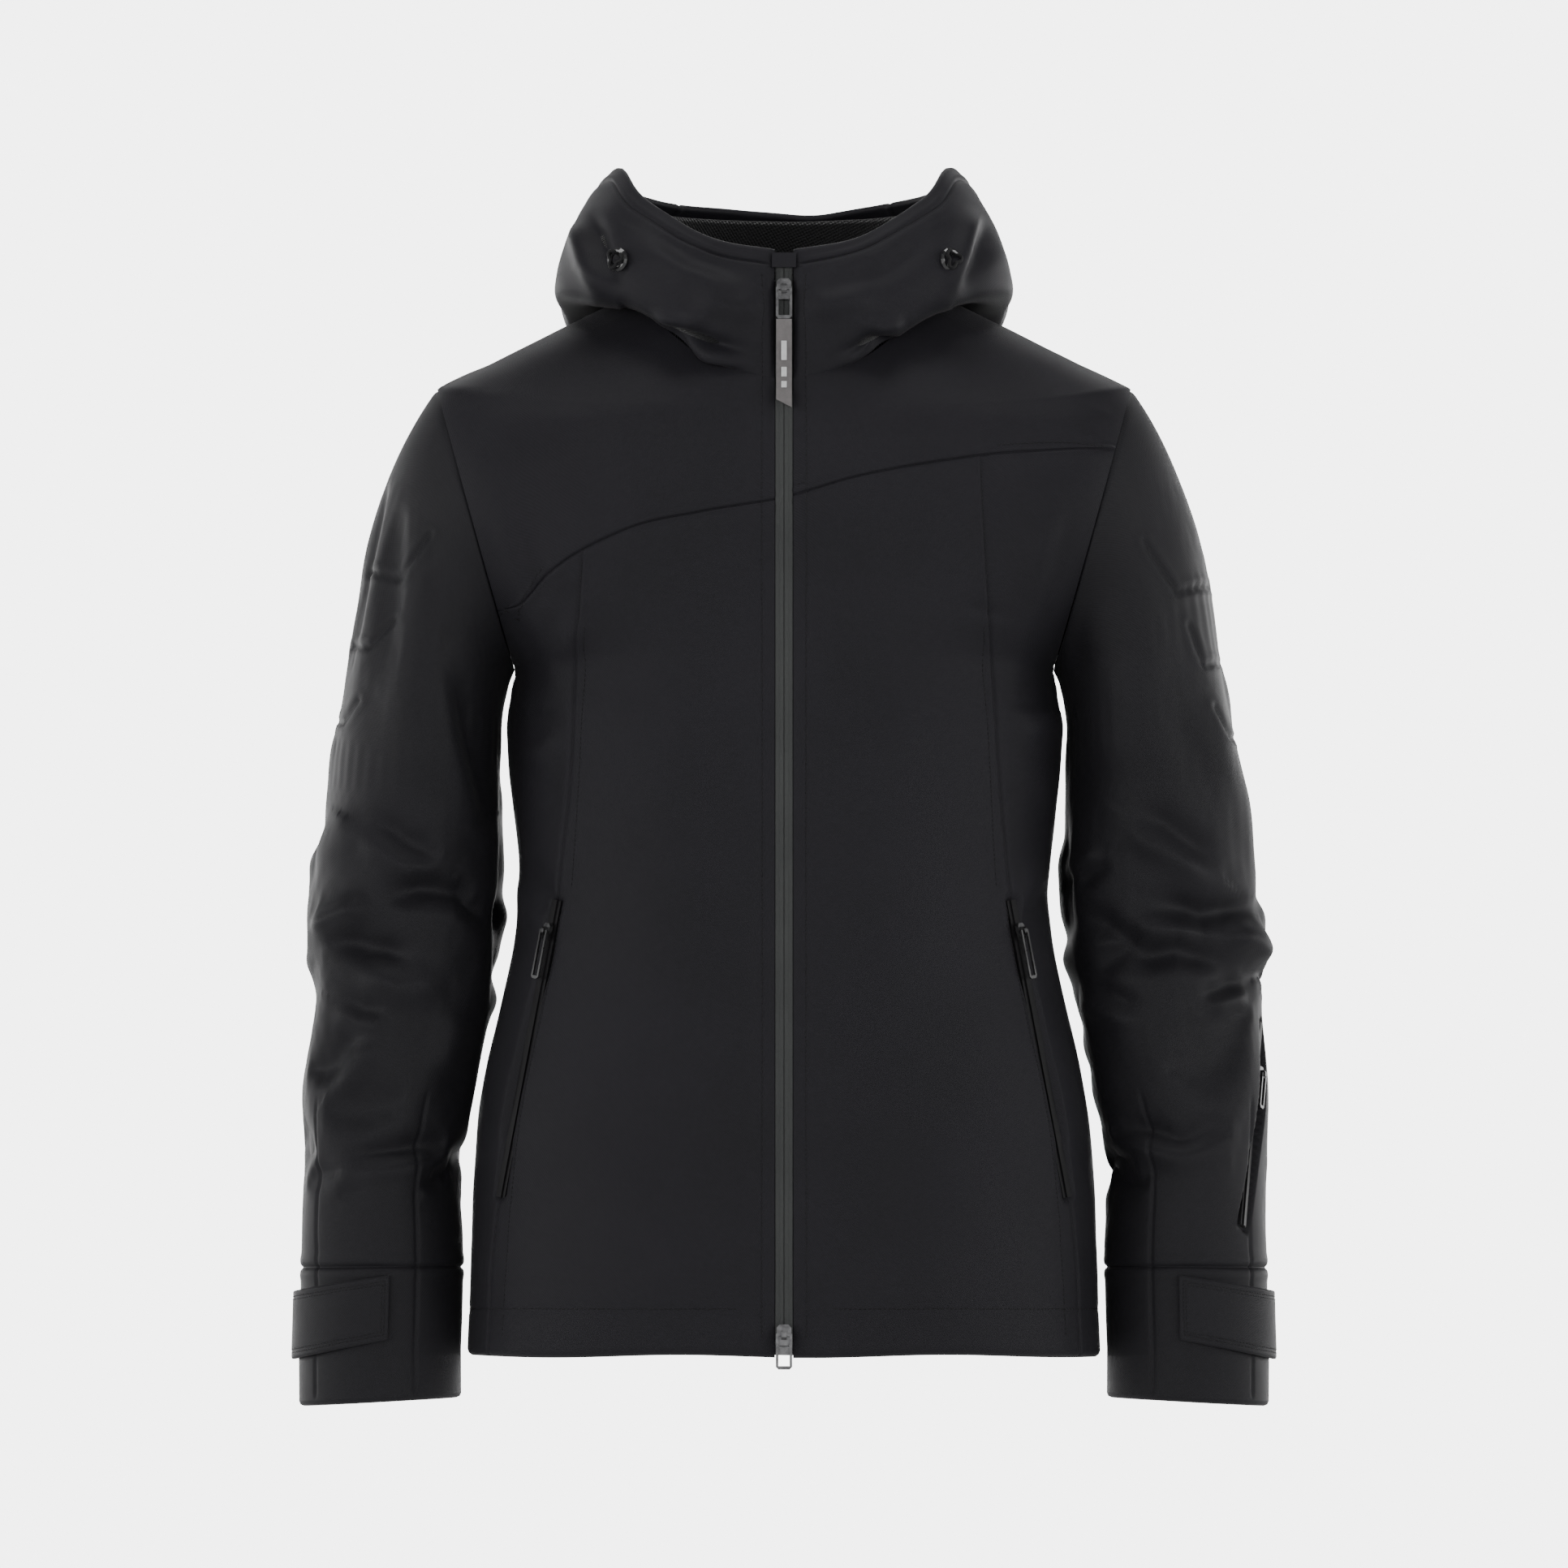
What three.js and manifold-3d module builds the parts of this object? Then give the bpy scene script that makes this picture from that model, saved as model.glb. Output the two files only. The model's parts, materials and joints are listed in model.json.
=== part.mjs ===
// Insulated ski jacket, hood down, front zip closed, sleeves hanging.
// Millimetres, +Z up. The front faces -Y and the wearer's left is +X.
// Heights are measured from the hem while building; the finished group is
// moved so that its origin is the middle of the hanger loop in the neck.
import * as THREE from 'three';
import { mergeVertices } from 'three/addons/utils/BufferGeometryUtils.js';
import Module from 'manifold-3d';

const wasm = await Module();
wasm.setup();

// ---------------------------------------------------------------- sizes
// body
const HEM_HALF_WIDTH = 197;
const HIP_HALF_WIDTH = 190;
const WAIST_HALF_WIDTH = 166;
const RIB_HALF_WIDTH = 174;
const HEM_BACK = 118;            // depth behind the middle plane
const WAIST_BACK = 106;
const BLADE_BACK = 118;
const HIP_Z = 144;
const WAIST_Z = 273;
const RIB_Z = 385;
const WALL = 6;                  // shell cloth with its insulation
const NECK_HALF_WIDTH = 97;
const NECK_SIDE_Z = 655;
const NECK_BACK = 70;
const NECK_DIP = 61;             // how far the neckline drops at the front
const NECK_DIP_START_Z = 560;
const NECK_Y = -10;              // middle of the neck opening

// straight line of the front zip, seen from the side
const ZIP_HEM_FRONT = 131;       // depth in front of the middle plane at the hem
const ZIP_LEAN = THREE.MathUtils.degToRad(2.97);
const COLLAR_TOP_Z = 675;

// armholes: flat rings, leaning outwards at the top
const ARMHOLE_RADIUS = 91;
const ARMHOLE_X = 193;
const ARMHOLE_Z = 512;
const ARM_TILT = THREE.MathUtils.degToRad(15.5);
const ARMHOLE_BULGE = 32;

// sleeves
const BICEP_WIDTH = 117;
const ELBOW_WIDTH = 133;
const FOREARM_WIDTH = 111;
const WRIST_WIDTH = 99;
const CUFF_WIDTH = 101;
const ELBOW_Z = 268;
const CUFF_SEAM_Z = 50;
const CUFF_END_Z = -28;
const ELBOW_BEND = THREE.MathUtils.degToRad(85);
const ELBOW_RELIEF = 3;          // cloth cut back at the fold, beyond the bend itself
const ELBOW_BACK_BAND = 24;

// lining, pockets, skirt
const POCKET_TOP_Z = 276;
const POCKET_BOTTOM_Z = 93;
const POCKET_SPACE = 5.6;        // between shell and lining
const LINING = 2.4;
const POCKET_BAG = 2;
const LINING_HEM_Z = 18;
const LINING_TOP_Z = 630;
const FLAP_WIDTH = 32;
const SKIRT_TOP_Z = 150;
const SKIRT_BOTTOM_Z = 70;
const SKIRT = 2;

// seams and clearances
const SEAM = 0.3;                // between pieces that are sewn together
const SIDE_SEAM_Y = 28;
const BACK_YOKE_Z = 500;
const SLOT_PLAY = 0.35;
const FACET_PLAY = 1;             // room for the flats of neighbouring curved sheets

// zips
const TAPE_HALF = 5.3;
const TAPE = 1.8;
const COIL_HALF = 1.7;
const COIL = 1.1;
const SLIDER = { width: 9, height: 13, thick: 3.2, bridge: 3.2, bar: 1.6 };
const SMALL_SLIDER = { width: 6.4, height: 10, thick: 2.4, bridge: 2.4, bar: 1.4 };
const MAIN_SLIDER_Z = 652;
const LOWER_SLIDER_Z = 8;
const ZIP_FOOT_Z = 1.5;
const PULL_LINK = 19;
const PULL_TAB = 55;
const PULL_TAB_WIDTH = 9.6;

// hardware
const EYELET_RADIUS = 7.5;
const EYELET_HOLE = 4.1;
const CORD = 3;
const TAB_HEIGHT = 38;
const TAB = 2.6;
const HOOK = 1.2;
const HOOK_GAP = 0.45;          // between the cuff and the hook patch sewn to it
const LOOP_WIDTH = 56;
const LOOP_DROP = 14;
const LOOP_STRIP = 7;

// ------------------------------------------------------------- materials
const shellCloth = { color: 0x232226, roughness: 0.78 };
const sleeveCloth = { color: 0x212123, roughness: 0.76 };
const liningCloth = { color: 0x141416, roughness: 0.9 };
const zipTape = { color: 0x414342, roughness: 0.8 };
const darkMetal = { color: 0x3a3a3c, roughness: 0.35, metalness: 0.8 };
const softPlastic = { color: 0x4a4646, roughness: 0.6 };
const gloss = { color: 0x0b0b0c, roughness: 0.2 };

// --------------------------------------------------------------- helpers
const vec = (x, y, z) => new THREE.Vector3(x, y, z);
const rad = THREE.MathUtils.degToRad;
const lerp = THREE.MathUtils.lerp;

/** Smooth curve through [position, value] knots, level beyond its ends. */
function profile(knots) {
  const slope = knots.map((knot, i) => {
    const before = knots[Math.max(i - 1, 0)];
    const after = knots[Math.min(i + 1, knots.length - 1)];
    return (after[1] - before[1]) / (after[0] - before[0]);
  });
  return (at) => {
    if (at <= knots[0][0]) return knots[0][1];
    const last = knots.length - 1;
    if (at >= knots[last][0]) return knots[last][1];
    const i = knots.findIndex((knot) => knot[0] > at) - 1;
    const span = knots[i + 1][0] - knots[i][0];
    const t = (at - knots[i][0]) / span;
    const t2 = t * t;
    const t3 = t2 * t;
    return (2 * t3 - 3 * t2 + 1) * knots[i][1] + (t3 - 2 * t2 + t) * span * slope[i]
      + (3 * t2 - 2 * t3) * knots[i + 1][1] + (t3 - t2) * span * slope[i + 1];
  };
}

/** Straight stretches through [position, value] knots. */
function straight(knots) {
  return (at) => {
    const i = Math.max(1, knots.findIndex((knot) => knot[0] >= at));
    const [a, b] = [knots[i - 1], knots[i]];
    return lerp(a[1], b[1], (at - a[0]) / (b[0] - a[0]));
  };
}

/** Point of surface(u, v), moved along its outward normal. */
function lifted(surface, u, v, offset) {
  const point = surface(u, v);
  if (offset === 0) return point;
  const du = surface(u + 1e-3, v).sub(surface(u - 1e-3, v));
  const dv = surface(u, v + 1e-3).sub(surface(u, v - 1e-3));
  return point.addScaledVector(du.cross(dv).normalize(), offset);
}

function geometryOf(points, faces) {
  const geometry = new THREE.BufferGeometry();
  const flat = points.flatMap((p) => [p.x, p.y, p.z]);
  geometry.setAttribute('position', new THREE.Float32BufferAttribute(flat, 3));
  let volume = 0;
  for (const [a, b, c] of faces) {
    volume += points[a].dot(points[b].clone().cross(points[c]));
  }
  geometry.setIndex(volume > 0 ? faces.flat() : faces.flatMap(([a, b, c]) => [a, c, b]));
  return geometry;
}

/** Closed solid through rings of points, with a fan over each end. */
function loft(rings) {
  const count = rings[0].length;
  const points = rings.flat();
  const faces = [];
  for (let r = 0; r + 1 < rings.length; r++) {
    for (let i = 0; i < count; i++) {
      const a = r * count + i;
      const b = r * count + (i + 1) % count;
      faces.push([a, b, b + count], [a, b + count, a + count]);
    }
  }
  for (const [ring, first, flip] of [[rings[0], 0, true], [rings.at(-1), points.length - count, false]]) {
    const middle = ring.reduce((sum, p) => sum.add(p), vec(0, 0, 0)).divideScalar(count);
    points.push(middle);
    for (let i = 0; i < count; i++) {
      const edge = [first + i, first + (i + 1) % count];
      faces.push(flip ? [edge[1], edge[0], points.length - 1] : [...edge, points.length - 1]);
    }
  }
  return geometryOf(points, faces);
}

/** Sheet of cloth lying on a surface, between two offsets from it. */
function sheet(surface, [u0, u1], [v0, v1], nu, nv, outside, thickness) {
  const points = [];
  const skin = (offset) => {
    for (let j = 0; j <= nv; j++) {
      for (let i = 0; i <= nu; i++) {
        const u = lerp(u0, u1, i / nu);
        const low = typeof v0 === 'function' ? v0(u) : v0;
        const high = typeof v1 === 'function' ? v1(u) : v1;
        points.push(lifted(surface, u, lerp(low, high, j / nv), offset));
      }
    }
  };
  skin(outside);
  skin(outside - thickness);
  const row = nu + 1;
  const size = row * (nv + 1);
  const faces = [];
  for (let j = 0; j < nv; j++) {
    for (let i = 0; i < nu; i++) {
      const a = j * row + i;
      faces.push([a, a + 1, a + row + 1], [a, a + row + 1, a + row]);
      faces.push([a + size, a + size + row + 1, a + size + 1], [a + size, a + size + row, a + size + row + 1]);
    }
  }
  const rim = [];
  for (let i = 0; i < nu; i++) rim.push(i);
  for (let j = 0; j < nv; j++) rim.push(j * row + nu);
  for (let i = nu; i > 0; i--) rim.push(nv * row + i);
  for (let j = nv; j > 0; j--) rim.push(j * row);
  rim.forEach((a, i) => {
    const b = rim[(i + 1) % rim.length];
    faces.push([a, a + size, b + size], [a, b + size, b]);
  });
  return geometryOf(points, faces);
}

/** Boolean solid of a closed geometry. */
function solid(geometry) {
  const plain = geometry.clone();
  plain.deleteAttribute('normal');
  plain.deleteAttribute('uv');
  const merged = mergeVertices(plain, 1e-4);
  return new wasm.Manifold(new wasm.Mesh({
    numProp: 3,
    vertProperties: new Float32Array(merged.attributes.position.array),
    triVerts: new Uint32Array(merged.index.array),
  }));
}

function fromSolid(body) {
  const { vertProperties, triVerts } = body.getMesh();
  const geometry = new THREE.BufferGeometry();
  geometry.setAttribute('position', new THREE.BufferAttribute(new Float32Array(vertProperties), 3));
  geometry.setIndex([...triVerts]);
  return geometry;
}

const jacket = new THREE.Group();

function add(name, geometry, look) {
  const mesh = new THREE.Mesh(geometry, new THREE.MeshStandardMaterial({ ...look, side: THREE.FrontSide }));
  mesh.name = name;
  jacket.add(mesh);
  return mesh;
}

/** Flat outline, extruded by depth; outline is a list of [x, y]. */
function plate(outline, depth, hole) {
  const shape = new THREE.Shape(outline.map(([x, y]) => new THREE.Vector2(x, y)));
  if (hole) shape.holes.push(new THREE.Path(hole.map(([x, y]) => new THREE.Vector2(x, y))));
  return new THREE.ExtrudeGeometry(shape, { depth, bevelEnabled: false });
}

/** Prism over an outline drawn in X and Z, from y0 back to y1. */
const prismY = (outline, y0, y1) => plate(outline, y1 - y0).rotateX(Math.PI / 2).translate(0, y1, 0);

/** Prism over an outline drawn in Y and Z, from x0 to x1. */
function prismX(outline, x0, x1, hole) {
  const turn = new THREE.Matrix4().makeBasis(vec(0, 1, 0), vec(0, 0, 1), vec(1, 0, 0));
  return plate(outline, x1 - x0, hole).applyMatrix4(turn).translate(x0, 0, 0);
}

/** Matrix of a place on a surface: X across, Z along, -Y outwards. */
function placeAt(origin, along, outward) {
  const z = along.clone().normalize();
  const y = outward.clone().addScaledVector(z, -outward.dot(z)).normalize().negate();
  const x = y.clone().cross(z);
  return new THREE.Matrix4().makeBasis(x, y, z).setPosition(origin);
}

const circle = (radius, count, cx = 0, cy = 0) => Array.from({ length: count }, (_, i) => {
  const angle = (i + 0.5) / count * 2 * Math.PI;
  return [cx + radius * Math.cos(angle), cy + radius * Math.sin(angle)];
});

// ---------------------------------------------------------- body surface
const zipY = (z) => -ZIP_HEM_FRONT + z * Math.tan(ZIP_LEAN);
const armholeEdge = (z) => ARMHOLE_X + (z - ARMHOLE_Z) * Math.tan(ARM_TILT);
const ARMHOLE_REACH = ARMHOLE_RADIUS * Math.cos(ARM_TILT);
const ARMPIT_Z = ARMHOLE_Z - ARMHOLE_REACH;
const SHOULDER_Z = ARMHOLE_Z + ARMHOLE_REACH;

const bodySide = profile([[0, HEM_HALF_WIDTH], [HIP_Z, HIP_HALF_WIDTH], [WAIST_Z, WAIST_HALF_WIDTH],
  [RIB_Z, RIB_HALF_WIDTH], [ARMPIT_Z, armholeEdge(ARMPIT_Z) + 1]]);
const bodyBack = profile([[0, HEM_BACK], [WAIST_Z - 20, WAIST_BACK], [480, BLADE_BACK], [560, 112],
  [SHOULDER_Z, 98], [NECK_SIDE_Z, NECK_BACK]]);
const squareness = profile([[0, 2.4], [RIB_Z, 2.5], [ARMPIT_Z, 2.6], [450, 3], [ARMHOLE_Z, 4], [575, 3.4],
  [SHOULDER_Z + 3, 2.6], [NECK_SIDE_Z, 2.1]]);

function halfWidth(level) {
  if (level < ARMPIT_Z) return bodySide(level);
  if (level < SHOULDER_Z) {
    const q = (level - ARMHOLE_Z) / ARMHOLE_REACH;
    return armholeEdge(level) + ARMHOLE_BULGE * (1 - q * q);
  }
  const t = Math.min((level - SHOULDER_Z) / (NECK_SIDE_Z - SHOULDER_Z), 1);
  return lerp(armholeEdge(SHOULDER_Z), NECK_HALF_WIDTH, t);
}

/** Body outside: angle -90 is the front, 0 the wearer's left, in degrees. */
function body(angle, level) {
  const c = Math.cos(rad(angle));
  const s = Math.sin(rad(angle));
  const power = 2 / squareness(level);
  const high = Math.max((level - NECK_DIP_START_Z) / (NECK_SIDE_Z - NECK_DIP_START_Z), 0);
  const z = level - NECK_DIP * high ** 1.2 * Math.max(-s, 0) ** 1.5;
  const front = -zipY(z);
  const back = bodyBack(level);
  const depth = (front + back) / 2;
  return vec(Math.sign(c) * halfWidth(level) * Math.abs(c) ** power,
    (back - front) / 2 + Math.sign(s) * depth * Math.abs(s) ** power, z);
}

const BODY_LEVELS = [0, 70, 144, 208, 273, 330, 385, 425, 450, 480, 512, 545, 575, 600, 618, 636, 655];
const AROUND = 32;

function bodyRing(level, offset) {
  return Array.from({ length: AROUND }, (_, i) => lifted(body, (i + 0.5) * 360 / AROUND - 180, level, offset));
}

/** Everything beyond an armhole's ring, as a box to cut with. */
function beyondArmhole(side) {
  const cutter = new THREE.BoxGeometry(300, 400, ARMHOLE_RADIUS + 202)
    .translate(150, 0, (ARMHOLE_RADIUS + 202) / 2 - ARMHOLE_RADIUS - 6);
  cutter.rotateY(ARM_TILT).translate(ARMHOLE_X, 0, ARMHOLE_Z);
  return solid(side > 0 ? cutter : mirrored(cutter));
}

function mirrored(geometry) {
  const copy = geometry.clone().applyMatrix4(new THREE.Matrix4().makeScale(-1, 1, 1));
  const flat = copy.index ? copy : mergeVertices(copy);
  const index = [...flat.index.array];
  for (let i = 0; i < index.length; i += 3) [index[i + 1], index[i + 2]] = [index[i + 2], index[i + 1]];
  flat.setIndex(index);
  return flat;
}

function bodyShell() {
  const outside = solid(loft(BODY_LEVELS.map((level) => bodyRing(level, 0))));
  const insideLevels = [-12, ...BODY_LEVELS.slice(1, -1), NECK_SIDE_Z + 12];
  const inside = solid(loft(insideLevels.map((level) => bodyRing(level, -WALL))));
  const neck = solid(loft([NECK_DIP_START_Z, NECK_SIDE_Z + 40].map((z) => neckRing(-WALL, z))));
  let shell = outside.subtract(inside).subtract(neck);
  for (const side of [-1, 1]) shell = shell.subtract(beyondArmhole(side));
  const slot = new THREE.BoxGeometry(2 * (TAPE_HALF + SLOT_PLAY), 80, 900).translate(0, -ZIP_HEM_FRONT, 300);
  return shell.subtract(solid(slot));
}

/** Upright ring of the neck opening. */
function neckRing(offset, z) {
  const front = -zipY(NECK_SIDE_Z - NECK_DIP) + NECK_Y + offset;
  const back = NECK_BACK - NECK_Y + offset;
  return Array.from({ length: AROUND }, (_, i) => {
    const angle = rad((i + 0.5) * 360 / AROUND - 180);
    const reach = Math.sin(angle) < 0 ? front : back;
    return vec((NECK_HALF_WIDTH + offset) * Math.cos(angle), NECK_Y + reach * Math.sin(angle), z);
  });
}

// ----------------------------------------------------------- body panels
// the yoke seam climbs from the wearer's right armpit to the left shoulder
const YOKE_SEAM = [[-260, 435], [-177, 435], [-150, 473], [-124, 491], [-98, 503], [-52, 514], [0, 523],
  [45, 536], [99, 546], [153, 552], [260, 553]];
const yokeSeam = straight(YOKE_SEAM);
const CHEST_SEAM = [[-30, 188], [POCKET_BOTTOM_Z - 6, 177], [POCKET_TOP_Z + 6, 140], [457, 126], [600, 118]];
const chestSeam = straight(CHEST_SEAM);

function panelRegions(side) {
  const edge = side * (TAPE_HALF + SLOT_PLAY - 1);
  let corner = side * 100;
  while (Math.abs(corner) < chestSeam(yokeSeam(corner))) corner += side;
  const yoke = (from, to, shift) => {
    const between = YOKE_SEAM.map(([x]) => x).filter((x) => (x - from) * (x - to) < 0);
    if (from > to) between.reverse();
    return [from, ...between, to].map((x) => [x, yokeSeam(x) + shift]);
  };
  const seamTop = yokeSeam(corner);
  const heights = [seamTop, ...CHEST_SEAM.map(([z]) => z).filter((z) => z < seamTop).reverse()];
  const chest = (shift) => heights.map((z) => [side * (chestSeam(z) + shift), z]);
  const low = chest(-SEAM / 2);
  low[0][1] -= SEAM / 2;
  const outer = chest(SEAM / 2);
  outer[0][1] -= SEAM / 2;
  return {
    front: [...yoke(edge, corner - side * SEAM, -SEAM / 2), ...low, [edge, -30]],
    side: [...yoke(side * 259, corner + side * SEAM, -SEAM / 2), ...outer, [side * 259, -30]],
    yoke: [...yoke(edge, side * 259, SEAM / 2), [side * 259, 720], [edge, 720]],
  };
}

function bodyPanels(shell) {
  const seam = SIDE_SEAM_Y;
  for (const [side, word] of [[-1, 'right'], [1, 'left']]) {
    const regions = panelRegions(side);
    const cut = (outline, depth = seam) => shell.intersect(solid(prismY(outline, -220, depth)));
    const slot = pocketSlot(side);
    add(`front_panel_${word}`, fromSolid(cut(regions.front, 0).subtract(slot)), shellCloth);
    add(`side_panel_${word}`, fromSolid(cut(regions.side).subtract(slot)), shellCloth);
    add(`front_yoke_${word}`, fromSolid(cut(regions.yoke)), shellCloth);
  }
  const back = (z0, z1) => {
    const block = new THREE.BoxGeometry(600, 220, z1 - z0).translate(0, seam + SEAM + 110, (z0 + z1) / 2);
    return shell.intersect(solid(block));
  };
  add('back_panel', fromSolid(back(-30, BACK_YOKE_Z - SEAM / 2)), shellCloth);
  add('back_yoke', fromSolid(back(BACK_YOKE_Z + SEAM / 2, 720)), shellCloth);
}

// ---------------------------------------------------------- hand pockets
const POCKET_TAPE_HALF = 4.4;
const POCKET_FACING = 3.6;        // how far the slot is wider inside than the tape
const POCKET_LIP = 1.6;          // cloth left over the facing
const POCKET_CUT = 60;           // depth of a cut that goes right through the cloth
const POCKET_SLIDER_DROP = 20;

/** Point of the front of the body at a given height and half width. */
function frontPoint(x, z) {
  const level = z;
  let low = -90;
  let high = 0;
  for (let i = 0; i < 40; i++) {
    const mid = (low + high) / 2;
    if (body(mid, level).x < x) low = mid; else high = mid;
  }
  return { point: body(low, level), angle: low };
}

function pocketPlace(side) {
  const top = frontPoint(chestSeam(POCKET_TOP_Z), POCKET_TOP_Z);
  const bottom = frontPoint(chestSeam(POCKET_BOTTOM_Z), POCKET_BOTTOM_Z);
  const middle = top.point.clone().add(bottom.point).divideScalar(2);
  const angle = (top.angle + bottom.angle) / 2;
  const outward = lifted(body, angle, middle.z, 1).sub(body(angle, middle.z));
  const along = top.point.clone().sub(bottom.point);
  const length = along.length();
  if (side < 0) for (const v of [middle, along, outward]) v.x *= -1;
  return { matrix: placeAt(middle, along, outward), length };
}

function pocketSlot(side) {
  const { matrix, length } = pocketPlace(side);
  const high = length + 2 * SLOT_PLAY;
  const mouth = new THREE.BoxGeometry(2 * (POCKET_TAPE_HALF + SLOT_PLAY), POCKET_CUT, high);
  const facing = new THREE.BoxGeometry(2 * (POCKET_TAPE_HALF + POCKET_FACING), POCKET_CUT / 2, high)
    .translate(0, POCKET_CUT / 4 + POCKET_LIP, 0);
  return solid(mouth.applyMatrix4(matrix)).add(solid(facing.applyMatrix4(matrix)));
}

/** Both tapes and the closed coil of a small zip, lying in X and Z. */
function zipStrip(half, length) {
  const section = [[-half, 0], [half, 0], [half, -TAPE], [COIL_HALF, -TAPE], [COIL_HALF, -TAPE - COIL],
    [-COIL_HALF, -TAPE - COIL], [-COIL_HALF, -TAPE], [-half, -TAPE]].reverse();
  return plate(section, length).translate(0, 0, -length / 2);
}

/** Slider body with the bridge that holds its pull; its back is at y = 0. */
function sliderGeometry({ width, height, thick, bridge, bar }) {
  const w = width / 2;
  const h = height / 2;
  const outline = [[-w * 0.7, -h], [w * 0.7, -h], [w, h * 0.2], [w, h * 0.7], [w * 0.6, h], [-w * 0.6, h],
    [-w, h * 0.7], [-w, h * 0.2]];
  const base = plate(outline, thick).rotateX(Math.PI / 2);
  const reach = bar * 2.2;
  const cheek = [[0.4, -reach * 0.8], [0.4, reach * 0.8], [-reach * 0.6, reach * 0.8], [-reach, reach * 0.4],
    [-reach, -reach * 0.4], [-reach * 0.6, -reach * 0.8]];
  const hole = circle(bar * 0.82, 10, -reach / 2, 0);
  const arch = prismX(cheek, -bridge / 2, bridge / 2, hole).translate(0, -thick, 0);
  return fromSolid(solid(base).add(solid(arch)));
}

const barPlace = ({ thick, bar }) => -thick - bar * 1.1;

/** Flat link hanging from the bar in a slider's bridge, bar at the origin. */
function linkGeometry({ bridge, bar }, length, width) {
  const inner = Math.max(width / 2 - bar, bridge / 2 + 0.5);
  const outer = inner + bar;
  const b = bar / 2;
  const foot = -length;
  const corner = bar;
  const outline = [[-outer, b], [-outer, foot + corner], [-outer + corner, foot], [outer - corner, foot],
    [outer, foot + corner], [outer, b]];
  const hole = [[-inner, -b], [inner, -b], [inner, foot + bar * 1.3], [-inner, foot + bar * 1.3]];
  return plate(outline, bar, hole).rotateX(Math.PI / 2).translate(0, b, 0);
}

function addHandPocket(side, word) {
  const { matrix, length } = pocketPlace(side);
  const at = (geometry, z, y) => geometry.translate(0, y, z).applyMatrix4(matrix);
  const tapeBack = WALL / 2;
  add(`pocket_zip_${word}`, at(zipStrip(POCKET_TAPE_HALF, length), 0, tapeBack), zipTape);
  const sliderZ = length / 2 - POCKET_SLIDER_DROP;
  const sliderY = tapeBack - TAPE - COIL - SLOT_PLAY;
  add(`pocket_slider_${word}`, at(sliderGeometry(SMALL_SLIDER), sliderZ, sliderY), darkMetal);
  const pull = linkGeometry(SMALL_SLIDER, 30, 7);
  add(`pocket_pull_${word}`, at(pull, sliderZ, sliderY + barPlace(SMALL_SLIDER)), gloss);
  const angles = side > 0 ? [-72, -38] : [-142, -108];
  const heights = [POCKET_BOTTOM_Z + 6, POCKET_TOP_Z - 30];
  const bag = sheet(body, angles, heights, 8, 6, -WALL - FACET_PLAY - 0.6, POCKET_BAG);
  add(`pocket_bag_${word}`, bag, liningCloth);
}

// --------------------------------------------------------- lining, skirt
function addLining() {
  const levels = [LINING_HEM_Z, ...BODY_LEVELS.slice(1, -2), LINING_TOP_Z];
  const outside = -WALL - POCKET_SPACE;
  const over = [LINING_HEM_Z - 12, ...levels.slice(1), LINING_TOP_Z + 8];
  const skin = solid(loft(levels.map((level) => bodyRing(level, outside))));
  const hollow = solid(loft(over.map((level) => bodyRing(level, outside - LINING))));
  let lining = skin.subtract(hollow);
  for (const side of [-1, 1]) lining = lining.subtract(beyondArmhole(side));
  const block = (x0, x1, y0, y1) => lining.intersect(solid(
    new THREE.BoxGeometry(x1 - x0, y1 - y0, 900).translate((x0 + x1) / 2, (y0 + y1) / 2, 300)));
  const half = FLAP_WIDTH / 2 + SEAM;
  add('lining_left', fromSolid(block(half, 260, -220, SIDE_SEAM_Y)), liningCloth);
  add('lining_right', fromSolid(block(-260, -half, -220, SIDE_SEAM_Y)), liningCloth);
  add('lining_back', fromSolid(block(-260, 260, SIDE_SEAM_Y + SEAM, 220)), liningCloth);
}

function addSkirt() {
  const outside = -WALL - POCKET_SPACE - LINING - FACET_PLAY - 0.3;
  const skirt = sheet(body, [-70, 250], [SKIRT_BOTTOM_Z, SKIRT_TOP_Z], 24, 1, outside, SKIRT);
  add('snow_skirt', skirt, liningCloth);
}

// -------------------------------------------------------------- main zip
const zipMatrix = placeAt(vec(0, zipY(0), 0), vec(0, Math.tan(ZIP_LEAN), 1), vec(0, -1, 0));
const alongZip = (z) => z / Math.cos(ZIP_LEAN);
const TAPE_BACK = WALL / 2 + 1;

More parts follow.
